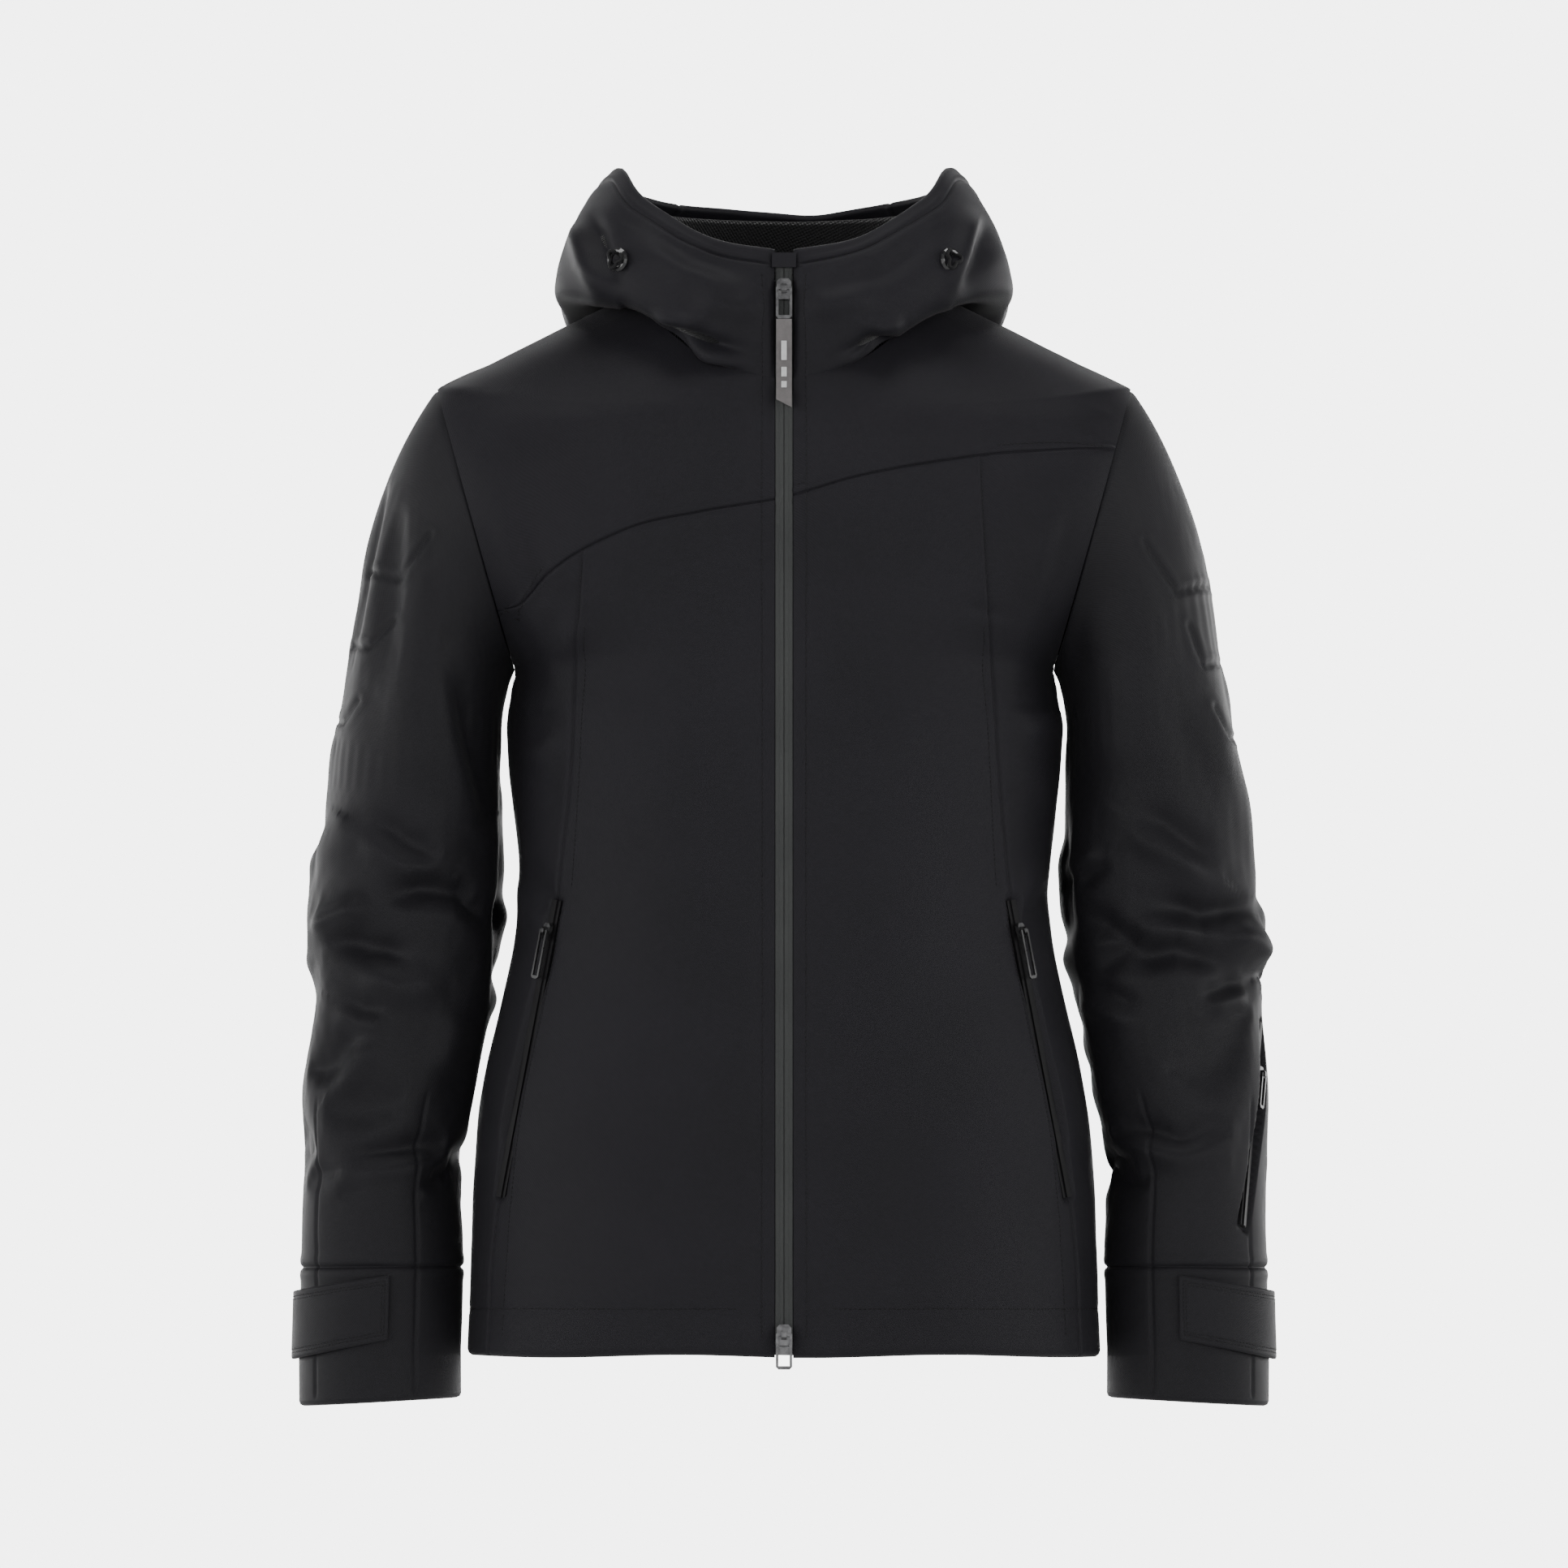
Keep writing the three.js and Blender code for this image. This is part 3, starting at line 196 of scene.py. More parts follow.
# ------------------------------------------------------------------ folds
def along_path(points, path):
    """Distance to a path drawn in X and Z, signed by side, and how far along it."""
    best = np.full(points.shape[:-1], 1e9)
    sign = np.ones_like(best)
    place = np.zeros_like(best)
    path = np.array(path, float)
    lengths = np.linalg.norm(np.diff(path, axis=0), axis=1)
    total, before = lengths.sum(), 0.0
    for a, b, length in zip(path[:-1], path[1:], lengths):
        d = (b - a) / length
        rel = points - a
        t = np.clip(rel @ d, 0, length)
        off = rel - t[..., None] * d
        dist = np.linalg.norm(off, axis=-1)
        near = dist < best
        best = np.where(near, dist, best)
        sign = np.where(near, np.sign(d[0] * rel[..., 1] - d[1] * rel[..., 0]), sign)
        place = np.where(near, (before + t) / total, place)
        before += length
    return best * sign, place


def fold(points, path, height, width, kind="ridge", taper=0.35):
    """Height field of one fold: a ridge, a valley, or a crease that is both."""
    d, t = along_path(points, path)
    ends = smooth(0, taper, t) * smooth(0, taper, 1 - t)
    ends = ends + (1 - ends) * 0.12
    hump = bell(d, width)
    if kind == "crease":
        return height * ends * (-1.5 * d / width) * hump
    if kind == "pinch":
        return -height * ends * np.exp(-np.abs(d) / (0.5 * width))
    return (height if kind == "ridge" else -height) * ends * hump


def ripples(points, seed, size, strength, stretch=(1, 1, 1)):
    """Gentle unevenness of laid cloth, from a few fixed waves."""
    rng = np.random.default_rng(seed)
    total = np.zeros(points.shape[:-1])
    for _ in range(9):
        direction = rng.normal(size=3) * np.array(stretch)
        direction /= np.linalg.norm(direction)
        wave = size * rng.uniform(0.7, 1.7)
        total += np.sin(points @ direction * 2 * math.pi / wave + rng.uniform(0, 6.28))
    return strength * total / 3


# --------------------------------------------------------------- materials
def node_material(name):
    material = bpy.data.materials.new(name)
    material.use_nodes = True
    tree = material.node_tree
    shader = tree.nodes["Principled BSDF"]
    return material, tree, shader


def link(tree, a, out, b, into):
    tree.links.new(a.outputs[out], b.inputs[into])


def math_node(tree, kind, a, b=None):
    node = tree.nodes.new("ShaderNodeMath")
    node.operation = kind
    for k, value in enumerate((a, b)):
        if value is None:
            continue
        if isinstance(value, (int, float)):
            node.inputs[k].default_value = value
        else:
            tree.links.new(value, node.inputs[k])
    return node.outputs[0]


def noise_node(tree, where, scale, detail):
    noise = tree.nodes.new("ShaderNodeTexNoise")
    noise.inputs["Scale"].default_value = scale
    noise.inputs["Detail"].default_value = detail
    link(tree, where, "Object", noise, "Vector")
    return noise


def two_tone(tree, shader, mix, dark, light, low, high):
    """Base colour between a dark and a light tone."""
    ramp = tree.nodes.new("ShaderNodeValToRGB")
    first, last = ramp.color_ramp.elements
    first.position, last.position = low, high
    first.color, last.color = (*dark, 1), (*light, 1)
    tree.links.new(mix, ramp.inputs[0])
    link(tree, ramp, "Color", shader, "Base Color")


def bump_node(tree, shader, height, strength, distance):
    bumper = tree.nodes.new("ShaderNodeBump")
    bumper.inputs["Strength"].default_value = strength
    bumper.inputs["Distance"].default_value = distance
    tree.links.new(height, bumper.inputs["Height"])
    link(tree, bumper, "Normal", shader, "Normal")


def cloth_material(name, dark, light, roughness, sheen, weave=1.1, bump=0.25, cloud=14, pile=0.0):
    """Woven cloth: fine diagonal ribs, soft uneven colour, a little sheen."""
    material, tree, shader = node_material(name)
    uv = tree.nodes.new("ShaderNodeUVMap")
    split = tree.nodes.new("ShaderNodeSeparateXYZ")
    link(tree, uv, "UV", split, 0)
    pitch = 2 * math.pi / (weave / 1000)
    ribs = []
    for su, sv in ((1.0, 0.62), (-0.45, 1.0)):
        a = math_node(tree, "MULTIPLY", split.outputs[0], su * pitch)
        b = math_node(tree, "MULTIPLY", split.outputs[1], sv * pitch)
        ribs.append(math_node(tree, "SINE", math_node(tree, "ADD", a, b)))
    twill = math_node(tree, "ADD", ribs[0], math_node(tree, "MULTIPLY", ribs[1], 0.6))
    where = tree.nodes.new("ShaderNodeTexCoord")
    patch = noise_node(tree, where, cloud, 3)
    grain = noise_node(tree, where, 900, 2)
    mixer = math_node(tree, "ADD", math_node(tree, "MULTIPLY", patch.outputs[0], 0.75),
                      math_node(tree, "MULTIPLY", grain.outputs[0], 0.35))
    mixer = math_node(tree, "ADD", mixer, math_node(tree, "MULTIPLY", twill, 0.10))
    two_tone(tree, shader, mixer, dark, light, 0.25, 0.85)
    rough = math_node(tree, "ADD", math_node(tree, "MULTIPLY", patch.outputs[0], 0.16), roughness - 0.08)
    tree.links.new(rough, shader.inputs["Roughness"])
    height = math_node(tree, "ADD", math_node(tree, "MULTIPLY", twill, 0.5),
                       math_node(tree, "MULTIPLY", grain.outputs[0], 0.5 + 3 * pile))
    bump_node(tree, shader, height, bump, 0.0002 + 0.0012 * pile)
    shader.inputs["Sheen Weight"].default_value = sheen
    shader.inputs["Sheen Roughness"].default_value = 0.45
    shader.inputs["Specular IOR Level"].default_value = 0.12
    return material


def hard_material(name, dark, light, roughness, metallic=0.0, coat=0.0, scale=300, bump=0.05):
    """Moulded or plated piece: faint mottling, handling marks and bump."""
    material, tree, shader = node_material(name)
    where = tree.nodes.new("ShaderNodeTexCoord")
    noise = noise_node(tree, where, scale, 4)
    two_tone(tree, shader, noise.outputs[0], dark, light, 0.3, 0.75)
    rough = math_node(tree, "ADD", math_node(tree, "MULTIPLY", noise.outputs[0], 0.18), roughness - 0.09)
    tree.links.new(rough, shader.inputs["Roughness"])
    bump_node(tree, shader, noise.outputs[0], bump, 0.0002)
    shader.inputs["Metallic"].default_value = metallic
    shader.inputs["Coat Weight"].default_value = coat
    return material


SHELL = cloth_material("shell_cloth", (0.0046, 0.0043, 0.0058), (0.0092, 0.0086, 0.0110), 0.60, 0.02)
SLEEVE = cloth_material("sleeve_cloth", (0.0046, 0.0044, 0.0055), (0.0092, 0.0088, 0.0106), 0.58, 0.02)
THREAD = cloth_material("thread", (0.0030, 0.0029, 0.0034), (0.0076, 0.0073, 0.0082), 0.5, 0.02, weave=0.5)
DARK_TAPE = cloth_material("dark_tape", (0.0034, 0.0033, 0.0037), (0.0072, 0.0070, 0.0076), 0.42, 0.02,
                           weave=0.7)
MARK = hard_material("raised_mark", (0.30, 0.30, 0.30), (0.38, 0.38, 0.38), 0.5)
FLEECE = cloth_material("fleece", (0.0022, 0.0022, 0.0024), (0.0052, 0.0052, 0.0056), 0.85, 0.12,
                        weave=2.2, bump=0.6, cloud=60, pile=0.6)
LINING = cloth_material("lining_cloth", (0.006, 0.006, 0.0065), (0.011, 0.011, 0.012), 0.5, 0.1, weave=0.8)
TAPE = cloth_material("tape_cloth", (0.021, 0.022, 0.022), (0.036, 0.038, 0.037), 0.55, 0.04,
                      weave=0.7, bump=0.4)
METAL = hard_material("plated_metal", (0.03, 0.03, 0.031), (0.09, 0.09, 0.092), 0.32, metallic=0.9)
RUBBER = hard_material("pull_rubber", (0.055, 0.050, 0.050), (0.080, 0.073, 0.073), 0.5, bump=0.15)
GLOSS = hard_material("gloss_trim", (0.003, 0.003, 0.0034), (0.007, 0.007, 0.0077), 0.30, coat=0.12)
ELASTIC = cloth_material("elastic_cord", (0.0030, 0.0030, 0.0033), (0.0070, 0.0070, 0.0074), 0.50, 0.02,
                         weave=0.6, bump=0.5)


# ------------------------------------------------------------------ meshes
def add_object(name, data):
    obj = bpy.data.objects.new(name, data)
    bpy.context.scene.collection.objects.link(obj)
    return obj


def grid_object(name, points, material, closed=False):
    """Mesh of a grid of points in build millimetres, with a UV map in metres."""
    rows, columns = points.shape[:2]
    place = points.reshape(-1, 3) / 1000 + np.array(ORIGIN)
    mesh = bpy.data.meshes.new(name)
    across = columns if closed else columns - 1
    j, i = np.meshgrid(np.arange(rows - 1), np.arange(across), indexing="ij")
    nxt = (i + 1) % columns
    quads = np.stack([j * columns + i, j * columns + nxt, (j + 1) * columns + nxt, (j + 1) * columns + i], -1)
    quads = quads.reshape(-1, 4)
    mesh.vertices.add(len(place))
    mesh.vertices.foreach_set("co", place.ravel())
    mesh.loops.add(quads.size)
    mesh.polygons.add(len(quads))
    mesh.loops.foreach_set("vertex_index", quads.ravel())
    mesh.polygons.foreach_set("loop_start", np.arange(len(quads)) * 4)
    mesh.update(calc_edges=True)
    beyond = points[:, :1] if closed else points[:, -1:]
    step_u = np.linalg.norm(np.diff(points, axis=1, append=beyond), axis=-1)
    u = np.concatenate([[0], np.cumsum(step_u.mean(0))]) / 1000
    step_v = np.linalg.norm(np.diff(points, axis=0), axis=-1)
    v = np.concatenate([[0], np.cumsum(step_v.mean(1))]) / 1000
    corners_u = np.stack([i, i + 1, i + 1, i], -1)
    corners_v = np.stack([j, j, j + 1, j + 1], -1)
    uv = np.stack([u[corners_u], v[corners_v]], -1)
    mesh.uv_layers.new(name="UVMap").data.foreach_set("uv", uv.astype(np.float32).ravel())
    mesh.polygons.foreach_set("use_smooth", np.ones(len(quads), bool))
    mesh.materials.append(material)
    mesh.validate()
    return add_object(name, mesh)


def keep_side(obj, centre, normal, chosen):
    """Cuts an object at a plane, dropping what lies along the normal, among chosen faces."""
    work = bmesh.new()
    work.from_mesh(obj.data)
    faces = [f for f in work.faces if chosen(f.calc_center_median())]
    edges = {e for f in faces for e in f.edges}
    verts = {v for f in faces for v in f.verts}
    bmesh.ops.bisect_plane(work, geom=[*verts, *edges, *faces], dist=1e-6, plane_co=centre, plane_no=normal,
                           clear_outer=True)
    work.to_mesh(obj.data)
    work.free()


def coordinates(obj):
    out = np.empty(len(obj.data.vertices) * 3)
    obj.data.vertices.foreach_get("co", out)
    return (out.reshape(-1, 3) - np.array(ORIGIN)) * 1000


def set_coordinates(obj, points):
    obj.data.vertices.foreach_set("co", (points / 1000 + np.array(ORIGIN)).ravel())
    obj.data.update()


def tube(name, path, radius, material, sides=14):
    """Round cord along a path of points in build millimetres."""
    path = np.array(path, float)
    along = np.gradient(path, axis=0)
    along /= np.linalg.norm(along, axis=1, keepdims=True)
    side = np.cross(along[0], (0.3, 0.2, 1.0))
    rings = []
    for centre, direction in zip(path, along):
        side = side - direction * (side @ direction)
        side /= np.linalg.norm(side)
        other = np.cross(direction, side)
        turn = np.linspace(0, 2 * math.pi, sides, endpoint=False)[:, None]
        rings.append(centre + radius * (np.cos(turn) * side + np.sin(turn) * other))
    rings = [path[0] + 0 * rings[0], *rings, path[-1] + 0 * rings[0]]
    return grid_object(name, np.stack(rings), material, closed=True)


class Surface:
    """Nearest spots on a finished mesh, for the things sewn onto it."""

    def __init__(self, *objects):
        vertices, faces = [], []
        for obj in objects:
            first = len(vertices)
            vertices += [v.co.copy() for v in obj.data.vertices]
            faces += [[first + k for k in p.vertices] for p in obj.data.polygons]
        self.tree = BVHTree.FromPolygons(vertices, faces)

    def nearest(self, point):
        spot, normal, _, _ = self.tree.find_nearest(Vector(point) / 1000 + ORIGIN)
        return np.array(spot - ORIGIN) * 1000, np.array(normal)


def even_path(points, pitch):
    points = np.array(points, float)
    run = np.concatenate([[0], np.cumsum(np.linalg.norm(np.diff(points, axis=0), axis=1))])
    places = np.arange(pitch / 2, run[-1], pitch)
    return np.stack([np.interp(places, run, points[:, k]) for k in range(3)], 1)


def stitches(name, lines, surface, material, pitch=3.0, length=2.1, radius=0.32):
    """Rows of thread laid on a surface, one small rounded stitch after another."""
    vertices, faces = [], []
    shape = [(-0.5, 0.35), (-0.3, 1.0), (0.3, 1.0), (0.5, 0.35)]
    for line in lines:
        places = even_path(line, pitch)
        spots = [surface.nearest(p) for p in places]
        for k, (spot, normal) in enumerate(spots):
            ahead = spots[min(k + 1, len(spots) - 1)][0] - spots[max(k - 1, 0)][0]
            ahead = ahead / max(np.linalg.norm(ahead), 1e-6)
            across = np.cross(ahead, normal)
            first = len(vertices)
            for along, swell in shape:
                for a in range(6):
                    c, d = math.cos(a * math.pi / 3), math.sin(a * math.pi / 3)
                    bulge = radius * swell * (across * c + normal * (d + 0.1))
                    vertices.append(spot + ahead * along * length + bulge)
            for ring in range(first, first + 18, 6):
                for a in range(6):
                    b = (a + 1) % 6
                    faces.append((ring + a, ring + b, ring + 6 + b, ring + 6 + a))
            faces.append(tuple(first + a for a in range(5, -1, -1)))
            faces.append(tuple(first + 18 + a for a in range(6)))
    mesh = bpy.data.meshes.new(name)
    mesh.from_pydata([tuple(np.array(v) / 1000 + np.array(ORIGIN)) for v in vertices], [], faces)
    mesh.materials.append(material)
    mesh.uv_layers.new(name="UVMap")
    return add_object(name, mesh)


def block(name, centre, size, material, edge=0.25):
    """Small box with its edges rounded, in the frame's metres."""
    work = bmesh.new()
    bmesh.ops.create_cube(work, size=1, matrix=Matrix.Diagonal((*size, 1)))
    bmesh.ops.bevel(work, geom=work.edges[:], offset=edge / 1000, segments=2, profile=0.5, affect="EDGES")
    mesh = bpy.data.meshes.new(name)
    work.to_mesh(mesh)
    work.free()
    mesh.materials.append(material)
    obj = add_object(name, mesh)
    obj.location = centre
    return obj


# ------------------------------------------------------------------- torso
YOKE_SEAM = profile([(-260, 405), (-177, 435), (-150, 473), (-98, 503), (-52, 514), (0, 523), (45, 536),
                     (99, 546), (153, 552), (260, 553)])
CHEST_SEAM = profile([(-30, 188), (87, 177), (282, 140), (457, 126), (600, 118)])
BACK_YOKE_Z = 500
SEAM_DEPTH = 1.0
# nominal widths round the body: front, side, back, side, front
PANELS = (150, 110, 400, 110, 150)
BELOW_YOKE, ABOVE_YOKE = 520, 230   # nominal heights of the cloth below and above the yoke seam
POCKET_LOW, POCKET_HIGH, POCKET_MOUTH = 93, 276, 4.6


def seam_height(x, y):
    """Height of the yoke seam: slanting over the front, level over the back."""
    back = smooth(-30, 30, y)
    return YOKE_SEAM(x) * (1 - back) + BACK_YOKE_Z * back


def torso_grid():
    def zip_angle(level):
        """How far off the middle the front edge lies, so the slot keeps its width."""
        return np.degrees(np.arcsin((ZIP_EDGE / half_width(level)) ** (squareness(level) / 2)))

    shares = []
    for k, length in enumerate(PANELS):
        t = graded(length, 2.9, start=k > 0, end=k < 4) / length
        shares.append(k + t[:-1] if k < 4 else k + t)
    share = np.concatenate(shares)
    low = graded(BELOW_YOKE, 3.0, start=False) / BELOW_YOKE
    high = 1 + graded(ABOVE_YOKE, 2.9, end=False)[1:] / ABOVE_YOKE
    rise = np.concatenate([low, high])

    def chest_angle(level, side):
        """Angle at which the front reaches the chest seam."""
        seam = np.minimum(CHEST_SEAM(np.minimum(level, 540)) / half_width(level), 0.93)
        found = np.degrees(np.arccos(seam ** (squareness(level) / 2)))
        return -found if side > 0 else 180 + found

    level = np.broadcast_to((rise * 500)[:, None], (len(rise), len(share))).copy()
    for _ in range(6):
        knots = np.stack([zip_angle(level) - 90, chest_angle(level, 1), np.full(level.shape, 14.0),
                          np.full(level.shape, 166.0), chest_angle(level, -1), 270 - zip_angle(level)])
        k = np.clip(share.astype(int), 0, 4)
        t = share - k
        cols = np.arange(len(share))
        angle = knots[k, :, cols].T * (1 - t) + knots[k + 1, :, cols].T * t
        place = body(angle, level)
        seam = seam_height(place[..., 0], place[..., 1])
        level = np.where(rise[:, None] <= 1, rise[:, None] * seam,
                         seam + (rise[:, None] - 1) * (NECK_SIDE_Z - seam))
    return angle, level, share, rise


def torso_folds(p):
    """Drape of the body's cloth, as drawn over the front, and rougher behind."""
    xz = p[..., [0, 2]]
    front = smooth(20, -40, p[..., 1])
    total = np.zeros(p.shape[:-1])
    folds = [
        ([(-172, 520), (-161, 478), (-152, 446)], 4.2, 9, "crease"),
        ([(-176, 470), (-150, 428), (-136, 380)], 2.4, 13, "ridge"),
        ([(176, 476), (152, 432), (138, 386)], 2.2, 13, "ridge"),
        ([(-121, 452), (-137, 430), (-154, 406)], 2.2, 10, "ridge"),
        ([(-139, 382), (-158, 362), (-163, 358)], 1.8, 9, "ridge"),
        ([(-150, 440), (-146, 360), (-152, 300)], 1.6, 16, "valley"),
        ([(175, 395), (160, 385), (145, 377)], 2.0, 10, "ridge"),
        ([(176, 520), (166, 486), (160, 440)], 4.2, 9, "crease"),
        ([(110, 456), (142, 450)], 1.2, 4, "pinch"),
        ([(-136, 470), (-128, 457)], 1.0, 4, "pinch"),
        ([(-120, 120), (-90, 60), (-60, 6)], 1.3, 30, "ridge"),
        ([(120, 120), (95, 60), (70, 6)], 1.2, 30, "ridge"),
        ([(-30, 590), (-120, 560), (-190, 545)], 1.6, 26, "ridge"),
        ([(30, 590), (120, 565), (190, 560)], 1.4, 26, "ridge"),
        ([(-70, 430), (-60, 300), (-75, 160)], 1.5, 34, "ridge"),
        ([(72, 430), (62, 300), (78, 160)], 1.4, 34, "ridge"),
        ([(-20, 470), (-26, 250), (-20, 40)], 1.3, 15, "valley"),
        ([(20, 470), (25, 250), (20, 40)], 1.3, 15, "valley"),
        ([(-168, 300), (-150, 270), (-140, 262)], 1.8, 9, "crease"),
        ([(168, 300), (152, 272), (140, 262)], 1.8, 9, "crease"),
    ]
    for path, height, width, kind in folds:
        total += front * fold(xz, path, 1.7 * height, width, kind)
    behind = 1 - front
    backs = [
        ([(-150, 420), (-60, 380), (30, 372)], 3.0, 22, "ridge"),
        ([(150, 410), (70, 362), (-20, 350)], 2.6, 20, "ridge"),
        ([(-170, 300), (-80, 268), (0, 262)], 3.6, 18, "crease"),
        ([(170, 306), (90, 276), (10, 270)], 3.4, 18, "crease"),
        ([(-160, 240), (-70, 226), (40, 228)], 2.4, 16, "ridge"),
        ([(-120, 180), (-100, 90), (-110, 10)], 2.6, 34, "ridge"),
        ([(115, 180), (100, 90), (108, 10)], 2.6, 34, "ridge"),
        ([(0, 200), (4, 100), (0, 10)], 2.0, 40, "valley"),
    ]
    for path, height, width, kind in backs:
        total += behind * fold(xz, path, height, width, kind)
    return total + ripples(p, 11, 120, 0.45, (1, 1, 0.7)) + ripples(p, 12, 45, 0.14)


def make_torso():
    angle, level, share, rise = torso_grid()
    p = body(angle, level)
    n = normals(p)
    # seams pull in: the yoke all round, the chest seams below it, the sides
    lift = np.zeros(p.shape[:-1])
    to_yoke = (rise[:, None] - 1) * np.where(rise[:, None] < 1, BELOW_YOKE, ABOVE_YOKE)
    lift -= SEAM_DEPTH * bell(to_yoke, 0.9)
    lift += 0.35 * bell(np.abs(to_yoke) - 4.5, 3)
    below = smooth(1.0, 0.995, rise)[:, None]
    for k, strength in ((1, 1.0), (2, 0.8), (3, 0.8), (4, 1.0)):
        off = (share - k) * np.where(share < k, PANELS[k - 1], PANELS[k])
        groove = SEAM_DEPTH * bell(off, 0.9) - 0.35 * bell(np.abs(off) - 4.5, 3)
        lift -= strength * groove[None, :] * (below if k in (1, 4) else 1)
        if k in (1, 4):
            mouth = smooth(POCKET_LOW - 1, POCKET_LOW + 3, p[..., 2])
            mouth = mouth * smooth(POCKET_HIGH + 1, POCKET_HIGH - 3, p[..., 2])
            lift -= 3.3 * mouth * np.exp(-((off / POCKET_MOUTH) ** 8))
    # the front edges turn in beside the zip
    for off in (share * PANELS[0], (5 - share) * PANELS[4]):
        lift -= 1.6 * bell(off, 1.3)[None, :]
        lift -= 0.5 * bell(off - 8, 0.9)[None, :]
    hem = p[..., 2]
    lift -= 0.7 * bell(hem - 24, 1.5)
    fade = smooth(0, 26, np.abs(p[..., 0])) * 0.8 + 0.2
    fade = np.where(p[..., 1] < 0, fade, 1)
    armhole = np.abs((np.abs(p[..., 0]) - ARMHOLE_X) * math.cos(ARM_TILT)
                     - (p[..., 2] - ARMHOLE_Z) * math.sin(ARM_TILT))
    rim = np.where(p[..., 2] > ARMPIT_Z - 30, smooth(2, 40, armhole), 1)
    top = smooth(NECK_SIDE_Z + 2, NECK_SIDE_Z - 40, level)
    lift += torso_folds(p) * fade * rim * (0.3 + 0.7 * top)
    out = p + n * lift[..., None]
    for word in SIDES:
        out = carve(out, f"pocket_pull_{word}_swing", f"pocket_slider_{word}_slide", *POCKET_ZIP_SLOT)
    polar = np.degrees(np.arctan2(out[-1, :, 1] - NECK_Y, out[-1, :, 0]))
    polar = np.where(polar < -90, polar + 360, polar)
    meet = hood(polar, 0.0) - out[-1]
    out += smooth(NECK_SIDE_Z - 45, NECK_SIDE_Z, level)[..., None] * meet
    # the hem hangs a little unevenly and turns in underneath
    sag = -3.0 * bell(out[..., 2], 30) * (0.5 + 0.5 * np.sin(out[..., 0] / 26 + 0.9)) * 0.6
    out[..., 2] += sag
    rows = [out[0] - n[0] * (4 - 4 * math.cos(a)) + np.array([0, 0, -4.0 * math.sin(a)])
            for a in np.array([1.0, 0.8, 0.6, 0.4, 0.2]) * math.pi]
    inner = [out[0] - n[0] * 8 + np.array([0, 0, h]) for h in (34, 22, 12, 5)]
    out = np.concatenate([np.stack(inner), np.stack(rows), out])
    torso = grid_object("torso_shell", out, SHELL)
    up = Vector((math.sin(ARM_TILT), 0, math.cos(ARM_TILT)))
    for side in (-1, 1):
        centre = Vector((side * ARMHOLE_X, 0, ARMHOLE_Z)) / 1000 + ORIGIN
        normal = Vector((side * math.cos(ARM_TILT), 0, -math.sin(ARM_TILT)))
        upward = Vector((side * up.x, 0, up.z))

        def near(c, centre=centre, upward=upward, side=side):
            rel = c - centre
            return side * c.x > 0.12 and rel.dot(upward) > -(ARMHOLE_RADIUS + 3) / 1000

        keep_side(torso, centre, normal, near)
    round_armholes(torso)
    return torso


def round_armholes(torso):
    """Brings the cut edge of each armhole onto its circle, and eases the cloth to it."""
    p = coordinates(torso)
    for side in (-1, 1):
        centre = np.array([side * ARMHOLE_X, 0, ARMHOLE_Z])
        normal = np.array([side * math.cos(ARM_TILT), 0, -math.sin(ARM_TILT)])
        up = np.array([side * math.sin(ARM_TILT), 0, math.cos(ARM_TILT)])
        rel = p - centre
        depth = rel @ normal
        a, b = rel @ up, rel[:, 1]
        radius, turn = np.hypot(a, b), np.arctan2(b, a)
        edge = (np.abs(depth) < 0.02) & (radius < 130) & (p[:, 0] * side > 100)
        order = np.argsort(turn[edge])
        turns, radii = turn[edge][order], radius[edge][order]
        reach = np.interp(turn, np.r_[turns - 2 * np.pi, turns, turns + 2 * np.pi], np.tile(radii, 3))
        local = smooth(60, 0, -depth) * bell(radius - reach, 45) * (p[:, 0] * side > 90)
        local = np.where(depth > 0.02, bell(depth, 12) * local, local)
        scale = 1 + local * (ARMHOLE_RADIUS / reach - 1)
        moved = centre + depth[:, None] * normal + (a * scale)[:, None] * up
        moved[:, 1] += b * scale
        p = np.where((local > 1e-4)[:, None], moved, p)
    set_coordinates(torso, p)


# ----------------------------------------------------------------- sleeves
BICEP_WIDTH, ELBOW_WIDTH, FOREARM_WIDTH, WRIST_WIDTH, CUFF_WIDTH = 117, 133, 111, 99, 101
ELBOW_Z, CUFF_SEAM_Z, CUFF_END_Z = 268, 50, -28
# height of the inner edge, lean, width, half depth, place front to back, room to the body
SLEEVE_ROWS = [
    (ARMPIT_Z, 90 - math.degrees(ARM_TILT), 2 * ARMHOLE_RADIUS, ARMHOLE_RADIUS, 0, -1),
    (ARMPIT_Z - 14, 58, 147, 84, 0, 2),
    (ARMPIT_Z - 49, 36, BICEP_WIDTH + 3, 78, 1, 3),
    (ARMPIT_Z - 94, 15, BICEP_WIDTH, 73, 3, 6),
    (ELBOW_Z, 0, ELBOW_WIDTH, 66, 5, 5),
    (ELBOW_Z - 53, 0, ELBOW_WIDTH - 14, 62, 3, 4),
    (ELBOW_Z - 103, 0, FOREARM_WIDTH, 59, 0, 5),
    (ELBOW_Z - 158, 0, WRIST_WIDTH, 56, -3, 9),
    (CUFF_SEAM_Z + 10, 0, CUFF_WIDTH, 53, -5, 5),
    (CUFF_END_Z, -3, CUFF_WIDTH, 52, -7, 4),
]
sleeve_curves = [profile([(i, row[k]) for i, row in enumerate(SLEEVE_ROWS)]) for k in range(6)]


def sleeve(angle, row):
    """Outside of the left sleeve: angle 0 outwards, 90 the front."""
    z, lean, width, depth, y, room = (curve(row) for curve in sleeve_curves)
    lean, a = np.radians(lean), np.radians(angle)
    reach = width / 2 * (1 + np.cos(a))
    x = body_side(z) + room + reach * np.cos(lean)
    return np.stack(np.broadcast_arrays(x, y - depth * np.sin(a), z + reach * np.sin(lean)), -1)


